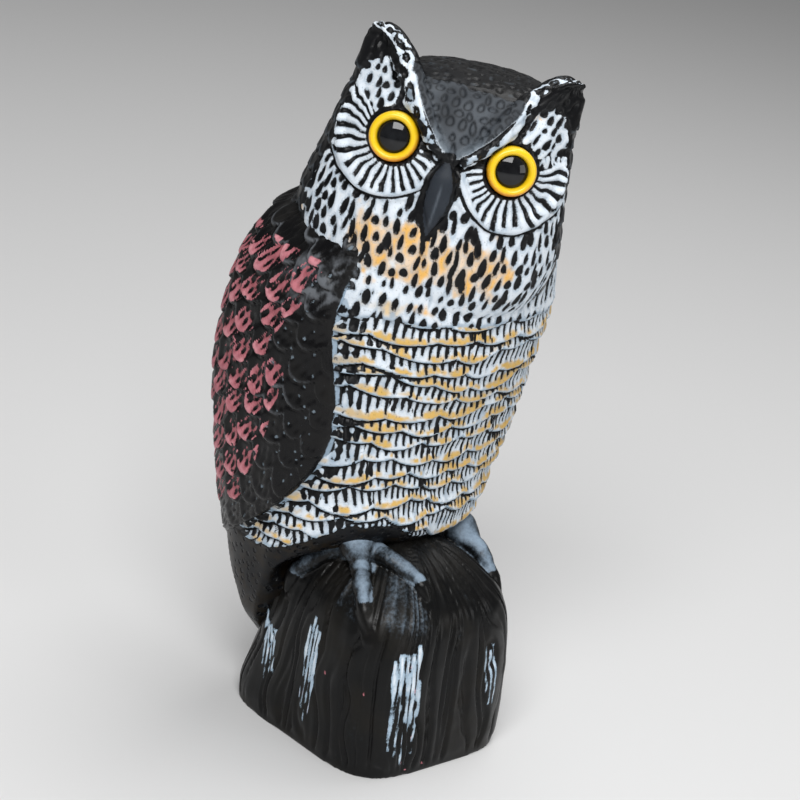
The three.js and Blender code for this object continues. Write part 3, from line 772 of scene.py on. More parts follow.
# The body under the feathers
BODY_TABLE = [
    [28, 42, 45, 52, 66, 3], [44, 55, 42, 50, 75, 3.2], [56, 60, 36, 46, 81, 3.4],
    [68, 64, 30, 40, 87, 3.6], [80, 66, 20, 36, 93, 3.6], [95, 69, 6, 33, 96, 3.6],
    [110, 72, -11, 31, 96, 3.6], [122, 74, -21, 30, 97, 3.6], [150, 80, -24, 30, 99, 3.6],
    [195, 85, -35, 30, 105, 3.6], [240, 87, -49, 28, 100, 3.5], [268, 86, -54, 24, 92, 3.4],
    [288, 80, -53, 20, 86, 3], [304, 70, -45, 16, 79, 2.6], [318, 50, -33, 12, 62, 2.2],
    [328, 30, -18, 10, 42, 2],
]


def wing_edge(drawn):
    sweep = np.clip((190 - drawn) / 135, 0, 1)
    return np.radians(60 + 6 * ease(drawn, 200, 255) + 113 * sweep ** 1.9)


def on_wing(angle, drawn):
    past = np.abs(angle) - wing_edge(drawn)
    return ease(past, 0.01, 0.06) * fade(drawn, 292, 306) * ease(drawn, 52, 64)


def body_base(angle, drawn, lift):
    half, front, middle, back, power = (read(BODY_TABLE, drawn, column) for column in (1, 2, 3, 4, 5))
    chest_power = 2 + 0.3 * bump(drawn - 172, 45)
    radius = outline(angle, half, middle - front, back - middle, chest_power, power) * SHARE + lift
    x, y = np.sin(angle) * radius, middle * SHARE - np.cos(angle) * radius
    return np.stack([x, y, level(drawn)], axis=1)


def body_grid(name, columns, rings, rings_at, drawn_at, shares_at, parts):
    """A closed skin of the body's form. shares_at gives, along the turn from the front, where the wing's
    edge lies, and parts how far the surface sinks on the breast's side and on the wing's side of it."""
    bm, turn, ring = sphere_grid(columns, rings)
    drawn = np.interp(ring, rings_at, drawn_at)
    edge = wing_edge(drawn)
    size = np.abs(turn)
    bent = np.where(size < shares_at, edge * size / shares_at,
                    edge + (math.pi - edge) * (size - shares_at) / (1 - shares_at))
    angle = np.sign(turn) * bent
    past = np.abs(angle) - edge
    wing = on_wing(angle, drawn) * ease(drawn, 80, 125)
    wing = np.where(angle > 0, wing * ease(past, 0.0, 0.4), wing)
    sunk = parts[0] * ease(-past, 0.0, 0.05) + parts[1] * ease(past, 0.03, 0.12)
    sunk = sunk + np.where(angle > 0, parts[0] * 0.12 * fade(past, 0.05, 0.2), 0.0)
    points = body_base(angle, drawn, WING_THICKNESS * wing - sunk)
    for pole, at in ((ring < 1e-4, 328), (ring > 1 - 1e-4, 28)):
        points[pole] = (0, float(read(BODY_TABLE, at, 3)) * SHARE, level(at))
    move_vertices(bm, points * MM)
    piece = new_piece(name, bm)
    return piece, angle, drawn, past


def arc_length(angle):
    """Length round the body from its front to an angle, at its widest level."""
    steps = np.linspace(0, math.pi, 400)
    ring = body_base(steps, np.full(400, 215.0), 0.0)
    run = np.concatenate([[0], np.cumsum(np.linalg.norm(np.diff(ring, axis=0), axis=1))])
    return np.interp(np.abs(angle), steps, run)


# The rows' lower edge: degrees round from the front, and height in millimetres
HEM_TURN = [-110, -102, -88, -81, -71, -64, -56, -50, -39, -24, -16, -8, 4, 25, 35, 46, 60, 80, 100]
HEM_HEIGHT = [105, 105, 109, 113, 120, 126, 131, 134, 135.5, 134, 129, 125, 123, 121, 125, 126, 121, 113, 105]
# The bib's lower corners: degrees round the head, and how far down the white reaches
BIB_TURN = [0, 15, 37, 47, 54, 64, 70, 90]
BIB_DROP = [120, 108, 75, 72, 71, 66, 56, 40]


def feather_rows(z, angle):
    """Rows of feathers with comb teeth under each edge, and a painted shadow under each edge: their coat, the
    spots that noise follows, and how far down the rows each point is."""
    along = level(260.0) - z
    round_way = angle * BODY_ARC
    wave = 5.0 * noise(np.stack([round_way, along, 0 * z], axis=1), 34.0, 81)
    along = along + 0.45 * wave - 4.0 * ease(np.abs(angle), 1.0, 1.9)
    warped = round_way + 6.0 * noise(np.stack([round_way, along * 1.6, 0 * z], axis=1), 26.0, 82)
    tip, under, _, mark, _ = feathers(along, warped, BREAST_FEATHERS, 83)
    band = np.clip(under / np.maximum(under + tip, 1e-3), 0, 1)
    spots = np.stack([round_way, along, 9 * mark], axis=1)
    combed = round_way + 2.2 * noise(np.stack([round_way, along, 0 * z], axis=1), 30.0, 96)
    teeth = (combed + 0.35 * under * (mark - 0.5)) / TOOTH_GAP + 7 * mark
    number = np.floor(teeth).astype(int)
    centre = (teeth - number - 0.5) * TOOTH_GAP
    feather = (mark * 997).astype(int)
    reach = 0.52 + 0.30 * hashed(number, feather, 84)
    half = 1.4 * (0.75 + 0.5 * hashed(number, feather, 85)) * (1 - 0.5 * band / reach)
    tooth = np.minimum(half - np.abs(centre), (reach - band) * 9.0)
    # Black teeth, and a painted shadow: a black band just under each lip where the feather over it overhangs
    dark = np.maximum(tooth, 1.7 - under + 0.6 * noise(spots, 3.0, 86))
    relief = 2.2 * fade(tip, 0.0, 7.5) - 0.3
    relief = relief * ease(tip, -0.4, 1.0) - 1.1 * bump(under, 1.3) - 0.8 * ease(tooth, -0.5, 0.6)
    scratch = noise(spots * np.array((1.0, 0.35, 1.0)), 1.7, 97) + 0.7 * noise(spots, 15.0, 98)
    edge = -dark - 1.6 * ease(scratch, 0.55, 0.95)
    return Coat(relief, row_tint(spots, tip, dark), edge), spots, along


def row_tint(spots, tip, dark):
    """White feathers, ochre behind a pale lip, and grey beside the teeth."""
    tint = uneven(WHITE, spots, 4.0, 87, 0.93, 0.07)
    ochre = 1.15 * bump(tip - 3.0, 2.5) + 0.85 * noise(spots, 9.0, 88) + 0.45 * noise(spots, 2.4, 89) - 0.62
    tint = lay(tint, BLUE_GREY, 0.6 * ease(noise(spots, 5.0, 99), 0.1, 0.8))
    tint = lay(tint, OCHRE, ease(ochre, 0.05, 0.6) * 0.95)
    tint = lay(tint, PALE_BLUE, ease(1.5 - tip + 0.6 * noise(spots, 3.0, 90), -0.2, 0.6))
    return lay(tint, BLUE_GREY, bump(dark + 0.25, 0.45) * 0.4)


def lay_mottle(coat, spots, past):
    """A mottled strip beside the wing. Gives the mottling."""
    strip = ease(past * BODY_ARC, -17, -5)
    mottle = 0.9 * noise(spots, 2.6, 91) + 0.7 * noise(spots, 7.0, 92)
    coat.cover(strip * (0.55 + 0.4 * mottle), tint=BLUE_GREY)
    coat.edge = coat.edge - strip * (0.8 + 2.0 * mottle)
    return mottle


def lay_bib(coat, points, spots, along, mottle):
    """The bib: the throat's own pitted coat over the rows."""
    face = to_head(points)
    psi = np.arctan2(face[:, 0], -face[:, 1])
    degrees = np.degrees(np.abs(psi))
    bib = Coat(*pitted_coat(face, psi))
    lip = along + 2.0 * noise(spots, 14.0, 93)
    bib.relief = bib.relief + 1.3 * bump(lip + 1.5, 4.0)
    bib.cover(bump(lip + 1.0, 1.3) * 0.8, tint=BLUE_GREY)
    here = fade(lip, -0.6, 0.6)
    coat.cover(here, bib.relief, bib.tint, bib.edge)
    shoulder = (degrees - 68) * 1.1 + 3 * noise(face, 8.0, 31)
    cut = np.maximum(-face[:, 2] - np.interp(degrees, BIB_TURN, BIB_DROP), shoulder) * 0.9
    beside = (here > 0.5) & (face[:, 0] < 20)
    low_part = ease(-face[:, 2], 82, 90)
    ragged = np.maximum(-cut, 1.6 * mottle + 3.0 * low_part - 3.2)
    coat.edge = np.where(beside, np.minimum(coat.edge, ragged), coat.edge)
    coat.cover(0.8 * beside * low_part * ease(cut, -0.5, 0.5), tint=BLUE_GREY)


def lay_hem(coat, z, angle, spots):
    """Ends the rows at their hem. Gives how much of the dark flank below it each point is."""
    hem = z - np.interp(np.degrees(angle), HEM_TURN, HEM_HEIGHT) + 1.8 * noise(spots, 7.0, 94)
    coat.cover(0.7 * bump(hem - 1.0, 1.0), tint=PALE_BLUE)
    coat.cover(bump(hem - 1.6, 1.6) * 0.7, relief=1.3)
    lower = fade(hem, -0.6, 0.6)
    coat.cover(lower, edge=-2.0)
    return lower


def make_breast():
    piece, angle, _, past = body_grid(
        "owl_breast", 400, 240, [0, 0.05, 0.26, 0.90, 1], [328, 312, 262, 104, 28], 0.86, (0.0, 5.0))
    points, normals = surface_of(piece)
    z = points[:, 2]
    coat, spots, along = feather_rows(z, angle)
    mottle = lay_mottle(coat, spots, past)
    lay_bib(coat, points, spots, along, mottle)
    lower = lay_hem(coat, z, angle, spots)
    relief = coat.relief * (1 - lower) * fade(past, 0.0, 0.03) - toe_room(points)
    set_field(piece, "flank", lower)
    keep_finish(piece, points + normals * relief[:, None], coat, 0.0 * z)
    return piece


def toe_room(points):
    """How far the flank draws in round the toes that pass under it."""
    room = np.zeros(len(points))
    for _, toes in FEET:
        for stops, _ in toes:
            distance, _ = near_curve(points, stops, 16)
            room = np.maximum(room, 10.0 * fade(distance, 6.0, 15.0))
    return room * fade(points[:, 2], 112, 122)


# Pits on a wing feather: each one's place across from its middle and back from its tip
WING_PIT_PLACES = [(2.3, 7.2), (-1.9, 8.4), (1.6, 13.4), (-3.2, 14.2), (-5.6, 9.6)]
WING_LEAN = math.radians(33)


def wing_run(z, angle):
    """How far along and beside the wing's lean each point lies, and the spots that its noise follows."""
    run = arc_length(angle)
    drop = level(300.0) - z
    along = run * math.sin(WING_LEAN) + drop * math.cos(WING_LEAN)
    beside = run * math.cos(WING_LEAN) - drop * math.sin(WING_LEAN)
    spots = np.stack([along, beside, np.where(angle > 0, 40.0, 0.0)], axis=1)
    along = along + 2.5 * noise(spots, 22.0, 101)
    beside = beside + 3.0 * noise(spots, 26.0, 102) + np.where(angle > 0, 5.0, 0.0)
    return along, beside, spots


def wing_pits(off, above, mark):
    """A few oval pits towards each feather's tip: how far inside the nearest one each point is."""
    pit, own = np.full(len(off), -9.0), (mark * 991).astype(int)
    for k, (sideways, back) in enumerate(WING_PIT_PLACES):
        du = off - sideways + 1.2 * (hashed(own, own * 0 + k, 104) - 0.5)
        dv = above - back + 1.8 * (hashed(own, own * 0 + k, 105) - 0.5)
        pit = np.maximum(pit, (1 - np.hypot(du - 0.1 * dv, dv / 2.7)) * 1.1)
    return pit


def pink_strokes(spots, tip, off, mark, above, pit, zone):
    """Pink strokes on some feathers' tips, with the pits left black, a painted highlight at the tip and
    painted shade further up: their tint and paint edge.
    """
    own, second = (mark * 991).astype(int), (mark * 7).astype(int)
    body_noise = 0.8 * noise(spots, 4.0, 106) + 0.5 * noise(spots, 1.8, 107)
    long = 7.0 + 3.0 * mark
    blot = (1 - np.hypot((off + 0.6) / 5.2, (above - long) / long)) * 5.6 + 2.2 * body_noise
    blot = blot + 0.25 * off * (hashed(own, second, 112) - 0.5) * 2
    fingers = 2.2 * np.cos(off * 1.7 + 5 * mark) * ease(above, 3, 9)
    chosen = (zone - 0.25 - 0.5 * hashed(own, second, 108)) * 9
    edge = np.minimum.reduce([blot + fingers, (tip - 0.8) * 1.2, -pit - 0.15, chosen])
    tint = uneven(PINK, spots, 3.0, 109, 0.92, 0.16)
    # Painted shade: the pink deepens further up each feather from its tip
    tint = lay(tint, PINK_PAINTED_SHADE, 0.55 * ease(above + 2.0 * noise(spots, 5.0, 113), 8, 14))
    # Painted highlight: paler pink along each feather's rounded tip
    tint = lay(tint, PINK_TIP_HIGHLIGHT, 0.7 * bump(tip - 2.4, 2.4) * ease(noise(spots, 6.0, 114), -0.5, 0.4))
    return lay(tint, PIT_PINK, bump(pit + 0.4, 0.5) * 0.5), edge


def mantle_brush(spots, degree, drawn, past, tip, pit, dots):
    """Grey dry-brushing on the shoulder feathers, and grey painted highlights on the nape's feather tips and
    faintly on all the edges.
    """
    shoulder = bump(degree - 78, 13) * bump(drawn - 273, 13)
    nape = bump(degree - 98, 22) * bump(drawn - 292, 9)
    worn = ease(noise(spots, 5.0, 116) + 0.5 * noise(spots, 2.0, 117), -1.0, 0.2) * fade(pit, -0.9, 0.0)
    brush = 1.0 * shoulder ** 0.6 * ease(tip, 0.2, 1.5) * (0.3 + 0.6 * worn) * fade(dots, -0.8, 0.2)
    # Painted highlights: grey on the nape's feather tips and faintly along every feather's lip
    brush = brush + 0.42 * nape * bump(tip - 1.6, 1.6) + 0.34 * bump(tip - 1.4, 1.5) * ease(past, 0.05, 0.2)
    return brush + 0.45 * bump(degree - 86, 7) * bump(drawn - 203, 14) * bump(tip - 2.0, 3.0)


def make_mantle():
    piece, angle, drawn, past = body_grid(
        "owl_mantle", 390, 240, [0, 0.05, 0.2, 0.86, 1], [328, 312, 270, 90, 28], 0.13, (6.0, 0.0))
    points, normals = surface_of(piece)
    along, beside, spots = wing_run(points[:, 2], angle)
    tip, under, off, mark, above = feathers(along, beside, WING_FEATHERS, 103, 2.2)
    pit = wing_pits(off, above, mark)
    relief = 1.9 * fade(tip, 0.0, 11.0) * ease(tip, -0.4, 1.3) - 0.8 * bump(under, 1.5)
    relief = relief + 0.5 * bump(off, 7.0) - 0.95 * ease(pit, -0.5, 0.8)

    # The tips are pink mostly behind, and the front strip stays black with pale dots painted on its pits as
    # glints
    degree = np.degrees(np.abs(angle))
    behind = np.degrees(past) - 10 - 11 * ease(280 - drawn, 0, 60) - 5 * noise(spots, 16.0, 115)
    zone = ease(behind, -2, 7) * (1 - 0.75 * ease(degree, 140, 165))
    zone = zone * ease(drawn, 84, 104) * fade(drawn, 278, 294)
    coat = Coat(relief, *pink_strokes(spots, tip, off, mark, above, pit, zone))
    dots, _ = pits(beside, along, WING_DOTS, 110, 0.8)
    front = fade(behind, 0, 8) * ease(past * BODY_ARC, 4, 9)
    # Painted highlights: pale grey dots on the front strip stand in for glints on the pits
    coat.add_marks(np.minimum(dots, (front - 0.5) * 2), GLINT_GREY)
    relief = relief * (1 - 0.35 * front * fade(drawn, 262, 272)) - 0.8 * ease(dots, -0.8, 0.5) * front
    rim = 0.9 - np.abs(past * BODY_ARC - 1.2) + 0.3 * noise(spots, 6.0, 111)
    rim = np.minimum(rim, 3 * ease(drawn, 110, 130) * fade(drawn, 262, 275) - 0.2)
    coat.add_marks(rim, BLUE_GREY)
    lower = fade(drawn, 60, 76)
    relief = relief * (1 - lower) * ease(past * BODY_ARC, 1.0, 8.0) - toe_room(points)
    brush = mantle_brush(spots, degree, drawn, past, tip, pit, dots) * (1 - lower)
    set_field(piece, "flank", lower)
    keep_finish(piece, points + normals * relief[:, None], coat, brush)
    return piece


# The stump and what stands on it
STUMP_PROFILE = [
    [0, 0.99], [0.1, 1.01], [0.38, 1], [0.5, 0.98], [0.58, 0.96], [0.66, 0.93],
    [0.74, 0.87], [0.80, 0.77], [0.88, 0.60], [0.95, 0.36], [1, 0.02],
]


def stump_form(bm_all):
    bm, turn, ring = sphere_grid(220, 120)
    angle = turn * math.pi
    bottom = 0.9
    half, deep = STUMP_WIDTH / 2, STUMP_DEPTH / 2
    rise = 1 - np.clip(ring / bottom, 0, 1) ** 0.8
    flare = bump(angle - math.radians(-135), 0.55)
    flare = flare * (0.02 - 0.1 * ease(rise, 0.05, 0.4) * fade(rise, 0.7, 0.95))
    reach = read(STUMP_PROFILE, rise, 1) + flare
    under = np.clip((ring - bottom) / (1 - bottom), 0, 1)
    reach = reach * (1 - under)
    radius = outline(angle, half, deep, deep, STUMP_SQUARENESS, STUMP_SQUARENESS) * reach
    points = np.stack([np.sin(angle) * radius, -np.cos(angle) * radius, rise * STUMP_TOP], axis=1)
    points[ring < 1e-4, :2] = 0
    move_vertices(bm, points)
    add_form(bm_all, bm)


# Feet, in millimetres: the ankle's stops, then each toe's stops and its claw's tip
FEET = [
    ([(-35, -1, 126), (-36.5, -7.5, 119.5), (-37.5, -14.5, 111)],
     [([(-33, 2, 114), (-40, 10, 109), (-46, 17, 101), (-50.5, 24, 93)], (-55, 25, 79)),
      ([(-35, -8, 113), (-41, -19, 107), (-47, -29.5, 97.5)], (-51, -43, 82)),
      ([(-28, -5, 117), (-25, -25, 115.5), (-16.8, -40, 108.5)], (-16, -49.5, 100))]),
    ([(43, 0, 122), (45.5, -8, 113), (47.5, -18, 108)],
     [([(45, 2, 113), (47, 12, 108), (48, 20, 101)], (55, 28, 79)),
      ([(47, -6, 112), (51, -2, 104), (52.5, 1.5, 96)], (57, 3, 72)),
      ([(47, -12, 111), (48.5, -22, 106), (49.5, -30, 99)], (52, -41, 84))]),
]
TOE = 5.6
TOE_PLACES, TOE_GIRTHS = [0, 0.4, 1], [1.25, 1.02, 1.0]
ANKLE_SIZES = [(12.0, 9.0), (11.0, 8.0), (8.0, 6.5)]


def foot_form(bm_all, ankle, toes):
    limb(bm_all, [(place, *size) for place, size in zip(ankle, ANKLE_SIZES)], (1, -0.4, 0), 36, 30)
    for stops, claw in toes:
        run = np.subtract(stops[-1], stops[0])
        beside = np.array((-run[1], run[0], 0.0)) / math.hypot(run[0], run[1])
        girths = TOE * np.interp(np.linspace(0, 1, len(stops)), TOE_PLACES, TOE_GIRTHS)
        limb(bm_all, [(place, girth, girth) for place, girth in zip(stops, girths)], beside, 30, 30)
        knuckle, tip = np.array(stops[-1], float), np.array(claw, float)
        root = knuckle - 0.35 * (tip - knuckle)
        limb(bm_all, [(root, 0.8 * TOE, 0.8 * TOE), ((root + tip) / 2, 0.82 * TOE, 0.82 * TOE),
                      (tip, 0.35 * TOE, 0.35 * TOE)], beside, 26, 26)


# The tail: how far it stands behind the stump, the level, and its half-width and half-thickness
TAIL_STOPS = [(24, 112, 38, 16), (18, 84, 37, 15), (9, 54, 32, 12), (2, 20, 25, 8)]


def tail_form(bm_all):
    rest = STUMP_DEPTH / 2
    stops = [((0, rest + proud * SHARE, level(drawn)), wide * SHARE, thick * SHARE)
             for proud, drawn, wide, thick in TAIL_STOPS]
    limb(bm_all, stops, (1, 0, 0), 64, 70)


def make_stump():
    bm_all = bmesh.new()
    stump_form(bm_all)
    for foot in FEET:
        foot_form(bm_all, *foot)
    limb(bm_all, [((-34, 6, 114), 12, 10), ((2, 3, 119), 14, 10), ((42, 4, 115), 13, 12)], (0, 1, 0), 36, 40)
    tail_form(bm_all)
    spots = np.array([vertex.co[:] for vertex in bm_all.verts])
    move_vertices(bm_all, spots * MM)
    piece = join_forms("owl_stump", bm_all, STUMP_VOXEL, 2)
    stump_finish(piece)
    return piece


# Millimetres round the stump, and how many fibres run over its top
STUMP_ROUND = 414.0
FIBRES = 74
# Brush strokes on the bark: degrees round from the front, top and bottom height, half-width, how many
# strands, and how they lean
STROKES = [
    (-83, 80, 14, 6.2, 4, 0.05), (-28.5, 81, 3, 8.2, 5, 0.05), (25.5, 75, 22, 5.0, 3, 0.05),
    (-119, 61, 22, 6.4, 4, 0.30),
]


def bark(points, ring, angle):
    """Wavy grooves down the sides that run in over the top as fibres. Gives the bark's relief, and how far
    each point is in a groove and on a fibre."""
    z, radius = points[:, 2], np.hypot(points[:, 0], points[:, 1])
    level_top, tall = ease(z, 82, 98), ease(z, 2, 8)
    warp = 1.15 * noise(ring, 17.0, 201) + 0.5 * noise(ring, 7.0, 202)
    groove = np.zeros(len(z))
    for count, shift, seed in ((52, 0.0, 203), (38, 0.37, 221)):
        lines = angle / (2 * math.pi) * count + shift + 0.8 * warp
        number = np.floor(lines).astype(int)
        nudge = 0.4 * (hashed(number, number * 0, seed + 1) - 0.5)
        across = (lines - number - 0.5 + nudge) * STUMP_ROUND / count
        strength = ease(noise(ring * 0.8 + 31.0 * number[:, None] % 977, 13.0, seed), -0.45, 0.35)
        wide = 0.8 + 0.35 * hashed(number, number * 0, seed + 2)
        groove = np.maximum(groove, bump(across, wide) * strength)
    hair = np.cos((angle / (2 * math.pi) * FIBRES + 1.4 * warp) * 2 * math.pi)
    plank = noise(ring * np.array((1, 1, 0.5)), 8.0, 222)
    relief = (-2.0 * groove + 0.5 * plank) * tall * (1 - 0.5 * level_top)
    relief = relief + 0.42 * hair * level_top * ease(radius, 24, 38) + 0.06 * hair * (1 - level_top) * tall
    return relief + 0.2 * noise(points, 7.0, 204) * tall, groove, hair


def near_feet(points):
    """How far each point is from the middle of a toe and of a claw, as a share of its half-width."""
    toe, claw = np.full(len(points), 9.0), np.full(len(points), 9.0)
    for ankle, toes in FEET:
        reach, share = near_curve(points, ankle, 20)
        toe = np.minimum(toe, reach / (13.0 - 5.0 * share))
        for stops, claw_tip in toes:
            reach, share = near_curve(points, stops, 24)
            toe = np.minimum(toe, reach / (TOE * np.interp(share, TOE_PLACES, TOE_GIRTHS)))
            knuckle = np.array(stops[-1], float)
            ahead = np.subtract(claw_tip, knuckle)
            reach, _ = near_curve(points, [knuckle + 0.15 * ahead, knuckle + 0.55 * ahead, claw_tip], 20)
            claw = np.minimum(claw, reach / (0.9 * TOE))
    return toe, claw


def lay_tail(coat, points, normals):
    """Tail: long feathers with a shaft each."""
    x, y, z = points.T
    rest = STUMP_DEPTH / 2
    tail = ease(y, rest - 6, rest + 1.5) * ease(1 - np.abs(x) / 42, 0, 0.2)
    tail = tail * fade(z, 112, 122) * ease(z, 10, 16)
    tip, under, off, _, _ = feathers(112 - z + 0.012 * x * x, x + 60, TAIL_FEATHERS, 211)
    vane = 1.5 * fade(tip, 0, 26) * ease(tip, -0.4, 1.2) - 0.8 * bump(under, 1.4)
    vane = vane - 0.7 * bump(off, 0.9) + 0.12 * np.cos((np.abs(off) - 0.8 * tip) / 1.9 * 2 * math.pi)
    coat.cover(tail * ease(normals[:, 1], 0.15, 0.5), relief=vane)


def lay_strokes(coat, z, angle, groove):
    """Strokes of pale blue and white down the bark, each in strands."""
    for number, (middle, top, bottom, half, strands, bend) in enumerate(STROKES):
        centre = (np.degrees(angle) - middle) * 1.1 + bend * (z - 0.5 * (top + bottom))
        shaken = 0.25 * noise(np.stack([centre, 0.2 * z, 0 * z], axis=1), 4.0, 214)
        place = (centre / half + 1) / 2 * strands + shaken
        strand = np.floor(np.clip(place, 0, strands - 0.01)).astype(int)
        group = np.full(len(z), number)
        upper = top - 9 * hashed(strand, group, 223)
        lower = bottom + 16 * hashed(strand, group, 224)
        off = (place - strand - 0.5) * 2 * half / strands
        thin = mix(0.12, 0.66, ease(z, lower, mix(lower, upper, 0.85))) * half / strands
        dry = 0.8 * noise(np.stack([angle * ROUND_ARC * 2.6, z * 0.35, 0 * z], axis=1), 2.2, 215)
        stroke = np.minimum(thin - np.abs(off) + dry - 0.6 * groove, np.minimum(upper - z, z - lower) * 0.5)
        coat.edge = np.maximum(coat.edge, np.minimum(stroke, half - np.abs(centre)) + 0.1)
    coat.cover(ease(coat.edge, 0.2, 1.4), tint=WHITE)


def stump_finish(piece):
    points, normals = surface_of(piece)
    x, y, z = points.T
    angle, radius = np.arctan2(x, -y), np.hypot(x, y)
    degree = np.degrees(angle)
    ring = np.stack([np.sin(angle) * 62, -np.cos(angle) * 62, z * 0.32], axis=1)
    relief, groove, hair = bark(points, ring, angle)
    above = 1 - ease(-normals[:, 2], 0.5, 0.8) * fade(z, 2, 6)
    coat = Coat(relief * above, all_over(PALE_BLUE, points), np.full(len(z), -2.0))

    # Smooth toes and claws
    toe, claw = near_feet(points)
    on_claw = fade(claw, 0.92, 1.08) * (1 - (toe < claw * 0.96))
    foot = fade(toe, 0.92, 1.12) * (1 - on_claw)
    smooth = np.maximum(foot, on_claw)
    coat.cover(smooth, relief=0.35 * (0.30 * noise(points, 3.2, 205) + 0.2 * noise(points, 1.8, 206)))
    coat.relief = coat.relief - 0.9 * bump(toe - 1.1, 0.07) * (1 - on_claw)
    lay_tail(coat, points, normals)
    lay_strokes(coat, z, angle, groove)

    # Pale fibres between the toes, grey paint with a painted sheen; grey paint on the toes with a painted
    # highlight on their lit side and on the claws' tops; and a few pink specks
    # Partly painted sheen: the pale fibres stand for grey paint and for light caught on the satin top
    fibre = ease(z, 78, 92) * fade(z, 113, 119) * ease(radius, 26, 40) * (1 - smooth)
    front = (bump(degree + 32, 13) + 0.8 * bump(degree + 66, 12) + 0.35 * bump(degree - 15, 22)) * above
    smudge = ease(0.4 * hair + 0.9 * noise(ring, 11.0, 216) - 0.8 * groove, -0.7, 0.8)
    brush = fibre * front * (0.20 + 0.30 * smudge)
    brush = np.maximum(brush, 0.14 * ease(noise(points, 26.0, 217), 0.1, 0.7) * above)
    # Painted highlight: the toes are paler where they face the key light
    light_side = normals @ np.array((-0.36, -0.36, 0.86))
    toe_painted_highlight = foot * ease(light_side + 0.10 * noise(points, 8.0, 218), 0.45, 1.05)
    brush = np.maximum(brush * (1 - smooth), 0.24 * foot + 0.42 * toe_painted_highlight)
    # Painted highlight: paler claw tops where they face up
    brush = np.maximum(brush, 0.22 * on_claw * ease(normals[:, 2], 0.3, 0.9))
    speck, mark = pits(angle * ROUND_ARC, z + radius, PINK_SPECKS, 219, 0.9)
    near = (degree > -95) & (degree < 0) & (mark < 0.3)
    coat.add_marks(np.where(near, speck - 0.05, -1), PINK)
    keep_finish(piece, points + normals * coat.relief[:, None], coat, brush)


# Eyes, each turned on its own axis in the head
def eye_place(side):
    outward = Vector((side * math.sin(math.radians(9)), -1, math.sin(math.radians(7)))).normalized()
    turn = Vector((0, 0, 1)).rotation_difference(outward).to_matrix().to_4x4()
    centre = Vector((side * EYE_SPACING / 2, -52.5 * SHARE, 0))
    return head_place @ Matrix.Translation(centre) @ turn


def turned_piece(name, profile, place, segments):
    """A profile in radius and height, spun round the eye's axis."""
    bm = bmesh.new()
    corners = [bm.verts.new((radius, 0, height)) for radius, height in profile]
    for first, second in zip(corners, corners[1:]):
        bm.edges.new((first, second))
    bmesh.ops.spin(bm, geom=bm.verts[:] + bm.edges[:], cent=(0, 0, 0), axis=(0, 0, 1),
                   angle=2 * math.pi, steps=segments, use_merge=True)
    bmesh.ops.remove_doubles(bm, verts=bm.verts, dist=1e-3)
    bmesh.ops.transform(bm, matrix=place, verts=bm.verts)
    bmesh.ops.scale(bm, vec=(MM, MM, MM), verts=bm.verts)
    return new_piece(name, bm)


def ring_painted_shade(piece, side):
    """Painted shade on a ring: how far towards its orange edge each point is, outwards, and more so below."""
    points, _ = surface_of(piece)
    local = placed(points, np.linalg.inv(np.array(eye_place(side))))
    radius = np.hypot(local[:, 0], local[:, 1])
    inner, outer = PUPIL_DIAMETER / 2 + FIT_GAP, RING_DIAMETER / 2
    across = (radius - inner) / (outer - inner)
    below = (points - points.mean(axis=0))[:, 2] / outer
    return np.clip(across - 0.25 - 0.35 * below, 0, 1) + 0.5 * np.clip(0.12 - across, 0, 1)


def make_eyes():
    inner, outer = PUPIL_DIAMETER / 2 + FIT_GAP, RING_DIAMETER / 2
    middle, half = (inner + outer) / 2, (outer - inner) / 2
    ring = [(inner, -SEAT_DEPTH), (outer, -SEAT_DEPTH)]
    turns = [step / 18 * math.pi for step in range(19)]
    ring += [(middle + half * math.cos(turn), RING_PROUD * math.sin(turn) ** 0.8) for turn in turns]
    ring += [(inner, -SEAT_DEPTH)]
    radius = PUPIL_DIAMETER / 2
    pupil = [(0, -SEAT_DEPTH), (radius, -SEAT_DEPTH)]
    sag = PUPIL_PROUD - 1.4
    dome = (radius ** 2 + sag ** 2) / (2 * sag)
    for step in range(17):
        out = radius * (1 - step / 16)
        pupil.append((out, PUPIL_PROUD - dome + math.sqrt(dome ** 2 - out ** 2)))
    pieces = []
    for name, side in (("right", -1), ("left", 1)):
        for kind, profile, slot in (("eye_ring", ring, "eye_ring_plastic"),
                                    ("pupil", pupil, "pupil_plastic")):
            piece = turned_piece(f"visual_{kind}_{name}", profile, eye_place(side), 96)
            if kind == "eye_ring":
                # Painted shade: orange towards the ring's outer edge, more so below
                set_field(piece, "rim", ring_painted_shade(piece, side))
            shade_smooth(piece)
            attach(piece, "root")
            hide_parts(f"{kind}_{name}")
            pieces.append(piece)
    return pieces


